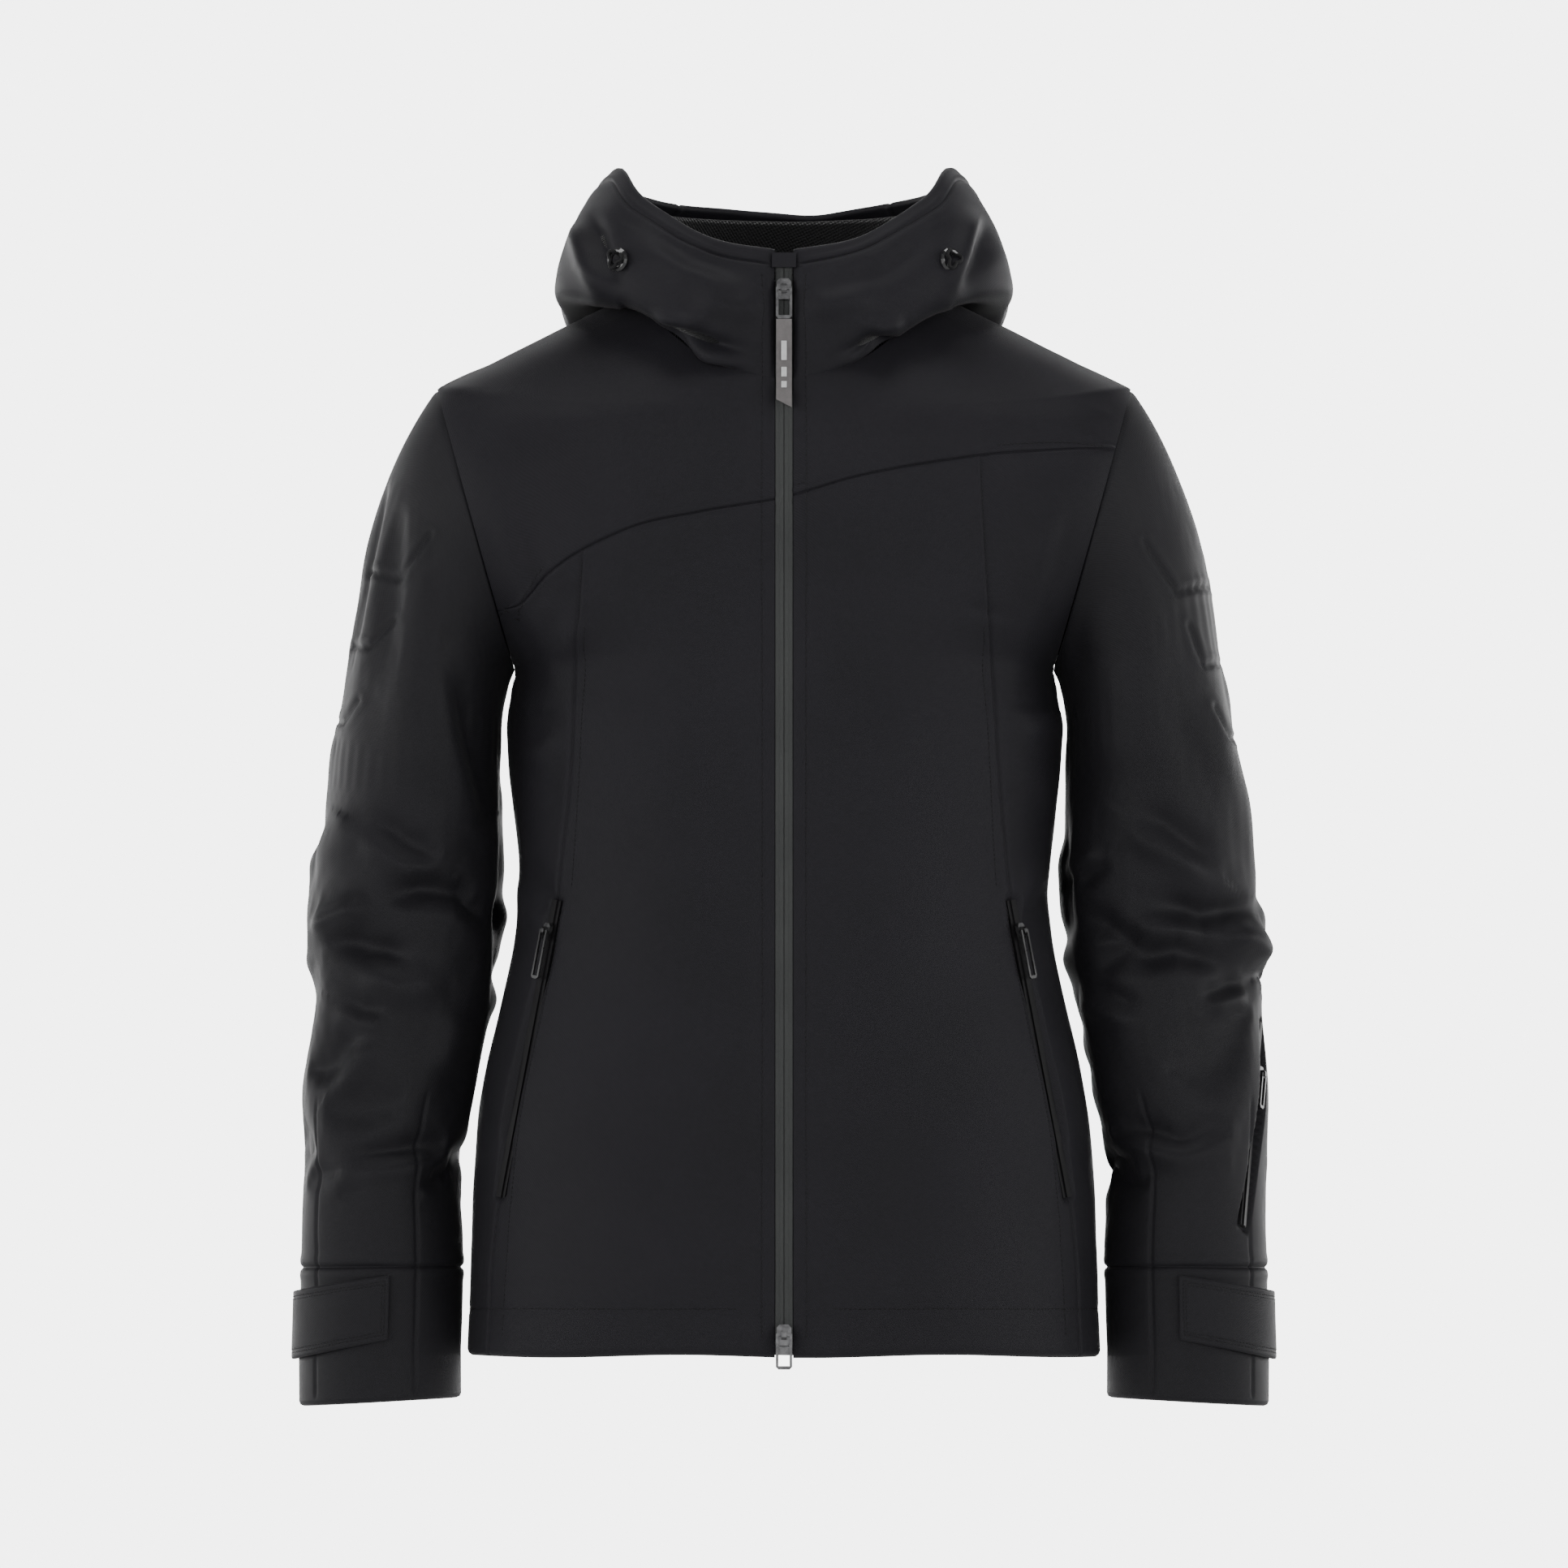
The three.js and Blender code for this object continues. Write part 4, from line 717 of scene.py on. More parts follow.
def row_of_height(height):
    """Row of the sleeve whose middle lies at a height."""
    rows = np.linspace(0, 9, 400)
    middle = (sleeve(0.0, rows)[:, 2] + sleeve(180.0, rows)[:, 2]) / 2
    return float(np.interp(-height, -middle, rows))


SLEEVE_FOLDS = {
    # viewer's left: wearer's right sleeve, drawn at its own side
    "right": [
        ([(-265, 325), (-236, 306), (-208, 294)], 5.5, 11, "crease"),
        ([(-298, 256), (-275, 266), (-252, 277)], 6.5, 9, "ridge"),
        ([(-254, 277), (-225, 283), (-198, 280), (-172, 254)], 7.5, 9, "valley"),
        ([(-290, 258), (-258, 247), (-222, 240)], 6.0, 9, "valley"),
        ([(-302, 300), (-285, 310), (-255, 330)], 2.5, 13, "ridge"),
        ([(-268, 234), (-238, 222), (-205, 224)], 4.5, 11, "ridge"),
        ([(-283, 158), (-270, 178), (-256, 197)], 4.0, 10, "crease"),
        ([(-268, 110), (-243, 117), (-216, 120)], 3.2, 9, "crease"),
        ([(-206, 110), (-196, 117), (-184, 124)], 2.6, 6, "crease"),
        ([(-206, 52), (-199, 60), (-192, 68)], 1.8, 5, "crease"),
        ([(-210, 430), (-200, 375), (-187, 327), (-169, 311)], 4.5, 11, "crease"),
        ([(-232, 440), (-226, 380), (-215, 330)], 2.6, 18, "ridge"),
        ([(-240, 160), (-232, 120), (-236, 80)], 1.6, 16, "ridge"),
        ([(-278, 215), (-262, 205), (-244, 206)], 2.6, 8, "crease"),
        ([(-196, 206), (-206, 190), (-214, 165)], 2.8, 10, "ridge"),
    ],
    "left": [
        ([(250, 402), (268, 372), (287, 332), (304, 290)], 4.2, 11, "ridge"),
        ([(213, 329), (240, 312), (270, 292)], 5.5, 11, "crease"),
        ([(222, 277), (262, 268), (306, 275)], 7.5, 10, "valley"),
        ([(273, 262), (292, 252), (307, 240)], 5.5, 10, "ridge"),
        ([(200, 236), (243, 246), (284, 235)], 6.5, 9, "valley"),
        ([(213, 262), (236, 257), (262, 256)], 4.0, 8, "ridge"),
        ([(258, 212), (274, 219), (288, 226)], 3.2, 7, "crease"),
        ([(175, 270), (196, 262), (210, 250), (186, 226)], 5.0, 9, "valley"),
        ([(182, 221), (202, 212), (222, 203)], 3.4, 8, "crease"),
        ([(206, 134), (246, 123), (266, 128)], 3.4, 9, "crease"),
        ([(206, 128), (210, 112), (214, 92)], 2.6, 8, "valley"),
        ([(176, 480), (172, 440), (180, 400)], 3.6, 9, "crease"),
        ([(214, 430), (210, 380), (204, 345)], 2.6, 18, "ridge"),
        ([(228, 178), (240, 150), (238, 96)], 1.6, 18, "ridge"),
        ([(200, 306), (186, 296), (178, 288)], 3.5, 8, "crease"),
    ],
}


CHEVRONS = {
    "right": [[(-259, 483), (-238, 475), (-219, 502)], [(-269, 437), (-256, 434), (-241, 450)],
              [(-281, 392), (-274, 388), (-264, 401)]],
    "left": [[(223, 497), (243, 467), (265, 474)], [(251, 447), (261, 423), (276, 428)],
             [(267, 397), (275, 378), (287, 381)]],
}


def pressed_lines(p, angle, word):
    """Thin chevrons pressed into the cloth of the upper arm."""
    front = smooth(-0.1, 0.1, np.sin(np.radians(angle)))
    total = np.zeros(p.shape[:-1])
    for path in CHEVRONS[word]:
        d, _ = along_path(p[..., [0, 2]], path)
        total += front * (-1.3 * bell(d, 1.5) + 0.5 * bell(np.abs(d) - 4, 2.2))
    return total


def sleeve_folds(p, angle, word):
    """Folds of one sleeve, given on its own side of the body; p has its real X."""
    front = smooth(-0.15, 0.35, np.sin(np.radians(angle)))
    total = np.zeros(p.shape[:-1])
    for path, height, width, kind in SLEEVE_FOLDS[word]:
        total += front * fold(p[..., [0, 2]], path, 1.5 * height, width, kind)
    behind = 1 - front
    side = SIDES[word]
    middle = 237 * side
    for z, tilt, height, width in ((330, 0.35, 4.5, 14), (292, -0.3, 6.0, 12), (262, 0.25, 6.5, 11),
                                   (236, -0.22, 5.0, 11), (206, 0.3, 3.5, 12), (150, -0.35, 2.5, 14),
                                   (105, 0.2, 2.2, 12), (400, 0.5, 2.5, 18)):
        path = [(middle - 75, z - 75 * tilt), (middle, z + 6), (middle + 75, z + 75 * tilt)]
        total += behind * fold(p[..., [0, 2]], path, height, width, "crease", 0.3)
    return total


SIM_AROUND, SIM_ALONG, SIM_FRAMES = 72, 84, 36
CLOTH_EXCESS = 0.10         # how much larger the cloth is cut than the arm, at the elbow
POCKET_TOP_ANGLE, POCKET_BOTTOM_ANGLE, POCKET_ROWS = 12, 46, (5.25, 7.75)


def pocket_calm(angle, rows, word):
    """1 where the cloth may fold, 0 around the forearm pocket, which lies flat."""
    if word == "right":
        return np.ones(np.broadcast_shapes(np.shape(angle), np.shape(rows)))
    t = (rows - POCKET_ROWS[0]) / (POCKET_ROWS[1] - POCKET_ROWS[0])
    aim = POCKET_TOP_ANGLE + np.clip(t, 0, 1) * (POCKET_BOTTOM_ANGLE - POCKET_TOP_ANGLE)
    off = turn_between(angle, aim)
    beyond = np.maximum(np.maximum(-t, t - 1), 0) * 140
    return smooth(7, 30, np.hypot(off, beyond))


def sleeve_drape(word, dense, run):
    """Buckles of a sleeve cut longer than the bent arm inside, from a cloth simulation.

    Gives the shift of each point of a coarse grid along the sleeve, in millimetres.
    """
    side = SIDES[word]
    span = run[-1]
    places = np.linspace(0, span, SIM_ALONG)
    rows = np.interp(places, run, dense)[:, None]
    angle = (np.arange(SIM_AROUND) * 360 / SIM_AROUND)[None, :]
    start = sleeve(angle, rows)
    n = normals(start, closed=True)
    real = start.copy()
    real[..., 0] *= side
    start = start + n * sleeve_folds(real, angle, word)[..., None]
    arm = start - n * 12
    for points in (start, arm):
        points[..., 0] *= side
    if side < 0:
        start, arm = start[:, ::-1], arm[:, ::-1]
    cloth = grid_object(f"drape_{word}", start, SLEEVE, closed=True)
    inner = grid_object(f"arm_{word}", arm, SLEEVE, closed=True)
    inner.modifiers.new("collision", "COLLISION")
    inner.collision.thickness_outer = 0.002
    held = cloth.vertex_groups.new(name="held")
    grown = cloth.vertex_groups.new(name="grown")
    index = np.arange(SIM_ALONG * SIM_AROUND).reshape(SIM_ALONG, SIM_AROUND)
    hold = np.maximum(smooth(60, 8, places), smooth(span - 150, span - 84, places))[:, None]
    hold = np.maximum(hold, 1 - pocket_calm(angle, rows, word))
    height = sleeve(0.0, rows[:, 0])[:, 2] / 2 + sleeve(180.0, rows[:, 0])[:, 2] / 2
    extra = 0.06 + 0.94 * bell(height - ELBOW_Z - 10, 75)
    if side < 0:
        hold = hold[:, ::-1]
    for row, weights, more in zip(index, hold, extra):
        grown.add([int(k) for k in row], float(more), "REPLACE")
        for k, weight in zip(row, weights):
            if weight > 0.01:
                held.add([int(k)], float(weight), "REPLACE")
    cloth_modifier = cloth.modifiers.new("cloth", "CLOTH")
    settings = cloth_modifier.settings
    settings.quality = 7
    settings.mass = 0.35
    settings.tension_stiffness = settings.compression_stiffness = 30
    settings.shear_stiffness = 9
    settings.bending_stiffness = 18
    settings.tension_damping = settings.compression_damping = 12
    settings.bending_damping = 2
    settings.air_damping = 4
    settings.vertex_group_mass = "held"
    settings.pin_stiffness = 4
    settings.vertex_group_shrink = "grown"
    settings.shrink_min, settings.shrink_max = 0, -CLOTH_EXCESS
    settings.effector_weights.gravity = 0.25
    cloth_modifier.collision_settings.distance_min = 0.002
    cloth_modifier.collision_settings.use_self_collision = False
    cloth_modifier.point_cache.frame_end = SIM_FRAMES
    scene = bpy.context.scene
    for moment in range(1, SIM_FRAMES + 1):
        scene.frame_set(moment)
    shaped = cloth.evaluated_get(bpy.context.evaluated_depsgraph_get())
    settled = np.empty(len(shaped.data.vertices) * 3)
    shaped.data.vertices.foreach_get("co", settled)
    settled = (settled.reshape(start.shape) - np.array(ORIGIN)) * 1000
    scene.frame_set(1)
    for obj in (cloth, inner):
        mesh = obj.data
        bpy.data.objects.remove(obj)
        bpy.data.meshes.remove(mesh)
    shift = settled - start
    if side < 0:
        shift = shift[:, ::-1]
    shift[..., 0] *= side
    return shift, places


def resample(shift, places, at, around):
    """Smoothly spreads a coarse grid's shift over the fine grid."""
    def spline(values, where, axis):
        values = np.moveaxis(values, axis, 0)
        i = np.clip(where.astype(int), 0, len(values) - 2)
        t = (where - i).reshape(-1, *[1] * (values.ndim - 1))
        a, b, c, d = (values[np.clip(i + k, 0, len(values) - 1)] for k in (-1, 0, 1, 2))
        out = b + 0.5 * t * (c - a + t * (2 * a - 5 * b + 4 * c - d + t * (3 * (b - c) + d - a)))
        return np.moveaxis(out, 0, axis)

    wide = np.concatenate([shift[:, -2:], shift, shift[:, :3]], 1)
    columns = np.arange(around) * shift.shape[1] / around + 2
    step = places[1] - places[0]
    return spline(spline(wide, columns, 1), at / step, 0)


def make_sleeve(word):
    side = SIDES[word]
    around = 300
    angle = (np.arange(around) * 360 / around)[None, :]
    # rows an even distance apart, packed at the armhole and the cuff seam
    dense = np.linspace(0, 9, 2000)
    middle = (sleeve(0.0, dense) + sleeve(180.0, dense)) / 2
    run = np.concatenate([[0], np.cumsum(np.linalg.norm(np.diff(middle, axis=0), axis=1))])
    cuff_run = np.interp(row_of_height(CUFF_SEAM_Z), dense, run)
    places = np.concatenate([graded(cuff_run, 2.1), cuff_run + graded(run[-1] - cuff_run, 1.8)[1:]])
    rows = np.interp(places, run, dense)[:, None]
    p = sleeve(angle, rows)
    n = normals(p, closed=True)
    real = p.copy()
    real[..., 0] *= side
    to_cuff = places - cuff_run
    lift = np.zeros(p.shape[:-1])
    lift -= (1.3 * bell(places, 1.3))[:, None]
    lift -= (1.5 * bell(to_cuff, 1.2))[:, None]
    lift += (0.6 * bell(np.abs(to_cuff) - 4.5, 3))[:, None]
    arm = (smooth(2, 55, places) * smooth(3, -22, to_cuff))[:, None]
    shift, at = sleeve_drape(word, dense, run)
    p = p + resample(shift, at, places, around)
    real = p.copy()
    real[..., 0] *= side
    lift += sleeve_folds(real, angle, word) * arm * pocket_calm(angle, rows, word)
    lift += pressed_lines(real, angle, word)
    lift += (ripples(real, 21 + side, 90, 0.6) + ripples(real, 31 + side, 36, 0.16)) * arm
    # lengthwise seams of the two-piece sleeve
    for seam_angle, low, high in ((118, 6.0, 9.0), (40, 6.1, 9.0), (-100, 0.3, 9.0)):
        off = turn_between(angle, seam_angle)
        groove = 1.1 * bell(off, 1.5) * smooth(low, low + 0.25, rows)
        groove = groove * smooth(high, high - 0.05, rows)
        lift -= groove
    out = p + n * lift[..., None]
    if word == "left":
        out = carve(out, "sleeve_pocket_pull_swing", "sleeve_pocket_slider_slide", *SLEEVE_ZIP_SLOT)
    # the cuff's end rolls in and runs up inside as lining
    end = out[-1]
    inward = n[-1]
    tail = []
    for a in np.array([0.25, 0.5, 0.75, 1.0]) * math.pi:
        tail.append(end - inward * (3 - 3 * math.cos(a)) + np.array([0, 0, -3 * math.sin(a)]))
    for h in (8, 20, 45, 80, 120, 170):
        row = np.interp(run[-1] - h, run, dense)
        tail.append(sleeve(angle[0], row) - inward * 6)
    out = np.concatenate([out, np.stack(tail)])
    out[..., 0] *= side
    if side < 0:
        out = out[:, ::-1]
    return grid_object(f"sleeve_{word}", out, SLEEVE, closed=True)


TAB_FROM, TAB_TO, TAB_OFF, TAB = -42, 98, 4.6, 2.6
TAB_ROW, TAB_LEAN, TAB_WIDTH, ROW_LENGTH = 8.12, 0.18, 38, 88   # rows, rows, and two lengths in millimetres


def make_cuff_tab(word):
    """Strap over the cuff, rounded at its edges, with its stitching."""
    side = SIDES[word]
    angle = np.linspace(TAB_FROM, TAB_TO, 120)[None, :]
    top = TAB_ROW + TAB_LEAN * (1 + np.cos(np.radians(angle))) / 2
    across = np.concatenate([[0, 0.004, 0.012, 0.03], np.linspace(0.06, 0.94, 22), [0.97, 0.988, 0.996, 1]])
    across = across[:, None]
    rows = top + across * TAB_WIDTH / ROW_LENGTH
    p = sleeve(angle, rows)
    n = normals(p)
    rim = np.minimum(across, 1 - across) * TAB_WIDTH
    ends = np.minimum(angle - TAB_FROM, TAB_TO - angle)
    edge = np.minimum(rim, ends)
    round_over = 0.9 * (1 - np.sqrt(np.clip(1 - (1 - np.clip(edge / 1.4, 0, 1)) ** 2, 0, 1)))
    press = 0.35 * bell(edge - 3.4, 0.7)
    outside = p + n * (TAB_OFF - round_over - press + 0.3 * np.sin(angle / 9) * smooth(0, 8, edge))[..., None]
    inside = p + n * (TAB_OFF - TAB + 0.3)
    loop = np.concatenate([outside, inside[::-1], outside[:1]])
    loop[..., 0] *= side
    if side < 0:
        loop = loop[:, ::-1]
    strap = grid_object(f"cuff_strap_{word}", loop, SLEEVE)
    work = bmesh.new()
    work.from_mesh(strap.data)
    bmesh.ops.remove_doubles(work, verts=work.verts[:], dist=1e-6)
    bmesh.ops.holes_fill(work, edges=[e for e in work.edges if e.is_boundary], sides=0)
    work.to_mesh(strap.data)
    work.free()
    lines = []
    for inset in (3.4, 5.2):
        t = inset / TAB_WIDTH
        a0, a1 = TAB_FROM + inset, TAB_TO - inset
        ring = [(a, t) for a in np.linspace(a0, a1, 60)] + [(a1, v) for v in np.linspace(t, 1 - t, 20)]
        ring += [(a, 1 - t) for a in np.linspace(a1, a0, 60)] + [(a0, v) for v in np.linspace(1 - t, t, 20)]
        spots = []
        for a, v in ring:
            row = TAB_ROW + TAB_LEAN * (1 + math.cos(math.radians(a))) / 2 + v * TAB_WIDTH / ROW_LENGTH
            spot = sleeve(float(a), row)
            out = sleeve(float(a), row) - sleeve(float(a) + 180, row)
            spot = spot + out / np.linalg.norm(out) * TAB_OFF
            spots.append((spot[0] * side, spot[1], spot[2]))
        lines.append(spots)
    thread = stitches(f"strap_stitching_{word}", lines, Surface(strap), THREAD,
                      pitch=2.6, length=1.8, radius=0.28)
    return strap, thread


# -------------------------------------------------------------------- hood
HOOD_FRONT = [(NECK_Y - zip_y(NECK_SIDE_Z - NECK_DIP + 1 + h), NECK_SIDE_Z - NECK_DIP + 1 + h)
              for h in (0, 9, 19, 29, 40, 51, 62, 71, 79)]
HOOD = {
    -90: HOOD_FRONT,
    -60: [(92, 609), (98, 614), (102, 623), (104, 634), (104, 646), (102, 658), (98, 668), (94, 677),
          (91, 684)],
    -30: [(96, 640), (110, 640), (123, 647), (129, 658), (129, 671), (125, 684), (117, 696), (107, 706),
          (100, 712)],
    0: [(99, 657.5), (124, 652), (142, 658), (142, 674), (137, 691), (130, 705), (121, 718), (111, 731),
        (105, 738)],
    45: [(90, 657.5), (114, 645), (134, 626), (152, 612), (169, 624), (176, 655), (169, 692), (151, 720),
         (134, 734)],
    90: [(82, 657.5), (104, 634), (132, 604), (165, 580), (196, 594), (211, 638), (206, 682), (182, 716),
         (162, 730)],
}
HOOD_CLOTH = 5
HOOD_ZIP_REACH = 86         # from the neck's middle to the zip, where the hood leaves its slot
BAND_STEP = 7
hood_curves = [[profile([*((a, HOOD[a][row][k]) for a in sorted(HOOD)), (135, HOOD[45][row][k])])
                for k in range(2)] for row in range(9)]


def hood(angle, step):
    """Outside of the hood: step 0 at the neck seam, 8 at the rim."""
    folded = np.where(angle > 90, 180 - angle, np.where(angle < -90, -180 - angle, angle))
    step = np.broadcast_to(step, np.broadcast_shapes(np.shape(angle), np.shape(step)))
    folded = np.broadcast_to(folded, step.shape)
    knots = [np.stack([hood_curves[row][k](folded) for row in range(9)]) for k in range(2)]
    i = np.clip(step.astype(int), 0, 7)
    t = step - i
    out = []
    for values in knots:
        before, a, b, after = (np.take_along_axis(values, np.clip(i + m, 0, 8)[None], 0)[0]
                               for m in (-1, 0, 1, 2))
        slope_a = np.where(i > 0, (b - before) / 2, b - a)
        slope_b = np.where(i < 7, (after - a) / 2, b - a)
        out.append((2 * t**3 - 3 * t**2 + 1) * a + (t**3 - 2 * t**2 + t) * slope_a
                   + (3 * t**2 - 2 * t**3) * b + (t**3 - t**2) * slope_b)
    reach, z = out
    return np.stack([reach * np.cos(np.radians(angle)), NECK_Y + reach * np.sin(np.radians(angle)), z], -1)


def make_hood():
    slot = math.degrees(math.asin(ZIP_EDGE / HOOD_ZIP_REACH))
    angle = np.linspace(-90 + slot, 270 - slot, 420)[None, :]
    step = np.concatenate([np.linspace(0, BAND_STEP - 0.25, 60), BAND_STEP + np.array([-0.15, -0.08, -0.03, 0,
                           0.03, 0.08, 0.15]), np.linspace(BAND_STEP + 0.22, 8, 14)])[:, None]
    p = hood(angle, step)
    n = normals(p)
    lift = np.zeros(p.shape[:-1])
    xz = p[..., [0, 2]]
    front = smooth(10, -40, p[..., 1])
    folds = [
        ([(-112, 646), (-72, 625), (-16, 612)], 3.4, 5, "valley"),
        ([(-104, 634), (-66, 614), (-22, 602)], 2.6, 6, "ridge"),
        ([(-84, 637), (-58, 631), (-46, 638)], 2.4, 5, "ridge"),
        ([(30, 609), (56, 619), (74, 617), (108, 640)], 3.6, 5, "valley"),
        ([(28, 600), (62, 606), (96, 624)], 2.6, 6, "ridge"),
        ([(44, 632), (60, 628), (76, 634)], 2.2, 5, "ridge"),
        ([(-128, 712), (-118, 675), (-104, 648)], 4.0, 8, "crease"),
        ([(126, 712), (116, 675), (106, 648)], 3.8, 8, "crease"),
        ([(-60, 650), (-30, 640), (-8, 640)], 1.8, 9, "ridge"),
        ([(60, 652), (30, 642), (8, 642)], 1.8, 9, "ridge"),
        ([(-90, 690), (-60, 668), (-20, 655)], 1.8, 9, "crease"),
        ([(90, 690), (60, 668), (20, 655)], 1.6, 9, "crease"),
    ]
    for path, height, width, kind in folds:
        lift += front * fold(xz, path, 2.2 * height, width, kind)
    seam = (step - BAND_STEP) * 12
    lift -= 1.2 * bell(seam, 1.1) - 0.4 * bell(np.abs(seam) - 4, 2.5)
    for a in (62, 118):
        off = (angle - a) * 3.2
        lift -= 1.4 * bell(off, 1.6)
    behind = smooth(20, 60, p[..., 1])
    lift += behind * (ripples(p, 41, 70, 1.6, (1, 0.6, 1)))
    lift += ripples(p, 42, 45, 0.4)
    edge = np.minimum(angle - angle.min(), angle.max() - angle) * 1.5
    lift *= smooth(0, 9, edge) * 0.85 + 0.15
    lift -= 1.4 * bell(edge, 1.3)
    lift *= smooth(-0.2, 0.5, step)
    out = p + n * lift[..., None]
    rim, rim_n = out[-1], n[-1]
    upward = out[-1] - out[-2]
    upward /= np.linalg.norm(upward, axis=-1, keepdims=True)
    tail = [rim - rim_n * (2.5 - 2.5 * math.cos(a)) + upward * 2.5 * math.sin(a)
            for a in np.linspace(0.2, 1, 5) * math.pi]
    tail += [hood(angle[0], 8 - d) - rim_n * 5 for d in (0.3, 0.8)]
    return grid_object("hood_shell", np.concatenate([out, np.stack(tail)]), SHELL)


def make_hood_lining():
    angle = np.linspace(-86, 266, 260)[None, :]
    step = np.linspace(7.6, 0.15, 60)[:, None]
    p = hood(angle, step)
    n = -normals(p)
    p = p - n * (HOOD_CLOTH + 0.6)
    p += n * ripples(p, 51, 30, 0.35)[..., None]
    return grid_object("hood_lining", p, FLEECE)


def collar(angle, step):
    s = np.sin(np.radians(angle))
    front = -zip_y(NECK_SIDE_Z - NECK_DIP) + NECK_Y - CLOTH - 0.6
    back = NECK_BACK - NECK_Y - CLOTH - 0.6
    reach = np.where(s < 0, front, back)
    low = NECK_SIDE_Z - 5 - NECK_DIP * np.maximum(-s, 0) ** 1.5
    high = 712 - 46 * np.maximum(-s, 0) ** 1.3
    flare = step * np.where(s < 0, 4 - 9 * s * s, 4)
    x = (NECK_HALF_WIDTH - CLOTH - 0.6 + flare) * np.cos(np.radians(angle))
    return np.stack(np.broadcast_arrays(x, NECK_Y + (reach + flare) * s, low + (high - low) * step), -1)


def make_inner_collar():
    angle = np.linspace(-78, 258, 300)[None, :]
    step = np.linspace(0, 1, 50)[:, None]
    p = collar(angle, step)
    n = normals(p)
    p += n * (ripples(p, 61, 34, 0.5) * smooth(0, 0.2, step))[..., None]
    rim = [p[-1] - n[-1] * (2 - 2 * math.cos(a)) + np.array([0, 0, 2 * math.sin(a)])
           for a in np.linspace(0.25, 1, 4) * math.pi]
    inside = p[::-1] - n[::-1] * 4
    return grid_object("inner_collar_fleece", np.concatenate([p, np.stack(rim), inside]), FLEECE)


def make_lining():
    """Smooth black lining inside the body, seen up the hem and down the neck."""
    angle = np.linspace(-83, 263, 260)[None, :]
    level = np.linspace(20, 636, 130)[:, None]
    p = body(angle, level)
    n = normals(p)
    depth = 12.5 + 2 * smooth(560, 640, level)
    p = p - n * (depth + 0 * angle)[..., None]
    limit = armhole_edge(p[..., 2]) - 1
    over = (p[..., 2] > ARMPIT_Z - 10) & (np.abs(p[..., 0]) > limit)
    p[..., 0] = np.where(over, np.sign(p[..., 0]) * limit, p[..., 0])
    p += n * ripples(p, 71, 60, 0.4)[..., None]
    return grid_object("body_lining", p[::-1], LINING)


# --------------------------------------------------------------- hardware
TAPE_EDGE, TAPE_BACK = 5.3, 1.1
CORD_RADIUS = 1.1


def make_tape(word):
    """One half of the zip: woven tape over the coil, rounded where the halves meet."""
    side = SIDES[word]
    z = np.arange(2.0, 668.0, 0.5)[:, None]
    across = [(0.12, 1.0), (0.12, 0.45), (0.4, 0.12), (1.0, 0.0), (1.8, 0.0), (2.5, 0.12), (2.9, 0.55),
              (3.3, 0.62), (4.2, 0.6), (TAPE_EDGE, 0.6), (TAPE_EDGE, 2.4), (0.12, 2.4)]
    x = np.array([a for a, _ in across])[None, :]
    deep = np.array([d for _, d in across])[None, :]
    coil = 0.10 * (0.5 - 0.5 * np.cos(2 * math.pi * z / 1.6)) * bell(x - 1.4, 0.9) * (deep < 1)
    points = np.stack(np.broadcast_arrays(side * x, zip_y(z) + TAPE_BACK + deep + coil, z), -1)
    ends = [points[0].mean(0) + 0 * points[0], points[-1].mean(0) + 0 * points[0]]
    points = np.concatenate([ends[:1], points, ends[1:]])
    if side < 0:
        points = points[:, ::-1]
    return grid_object(f"zip_tape_{word}", points, TAPE, closed=True)


def make_hood_cord(word):
    """Elastic cord that leaves the eyelet, makes three small lobes and goes back in."""
    side = SIDES[word]
    low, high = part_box(f"hood_eyelet_{word}")
    centre = (np.array((low + high) / 2) - np.array(ORIGIN)) * 1000
    out = np.array([0.56 * side, -0.82, 0.05])
    out /= np.linalg.norm(out)
    across = np.cross((0, 0, 1), out)
    across /= np.linalg.norm(across)
    up = np.cross(out, across)
    lobes = []
    for t in np.linspace(0, 1, 64):
        turn = 2 * math.pi * (0.03 + 0.94 * t)
        reach = 4.5 - 1.5 * math.cos(3 * turn)
        sunk = 4.2 * (smooth(0.10, 0, t) + smooth(0.90, 1, t))
        lobes.append(centre + across * reach * math.cos(turn + 1.2) + up * reach * math.sin(turn + 1.2)
                     + out * (3.4 - sunk))
    return lobes


# ---------------------------------------------------------------- assembly
for word in SIDES:
    lobes = make_hood_cord(word)
    cord = tube(f"eyelet_cord_{word}", lobes, CORD_RADIUS, ELASTIC)
    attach(cord, "jacket_body")
    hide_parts(f"hood_cord_{word}")

torso = make_torso()
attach(torso, "jacket_body")
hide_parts("front_panel_left", "front_panel_right", "side_panel_left", "side_panel_right",
            "front_yoke_left", "front_yoke_right", "back_panel", "back_yoke")

hood_shell = make_hood()
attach(hood_shell, "jacket_body")
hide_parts("hood_side_left", "hood_side_right", "hood_centre", "hood_band_left",
            "hood_band_right")
for maker, nodes in ((make_hood_lining, []), (make_inner_collar, ["inner_collar"]),
                     (make_lining, ["lining_left", "lining_right", "lining_back"])):
    piece = maker()
    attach(piece, "jacket_body")
    if nodes:
        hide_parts(*nodes)

for word, side in SIDES.items():
    arm = make_sleeve(word)
    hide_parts(f"upper_sleeve_outer_{word}", f"upper_sleeve_inner_{word}", f"elbow_panel_{word}",
                f"forearm_{word}", f"cuff_{word}")
    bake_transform(arm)

for word in SIDES:
    tape = make_tape(word)
    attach(tape, "jacket_body")
    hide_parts(f"front_zip_{word}")
    strap, strap_thread = make_cuff_tab(word)
    for piece in (strap, strap_thread):
        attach(piece, f"cuff_tab_{word}")
    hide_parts(f"cuff_tab_{word}")

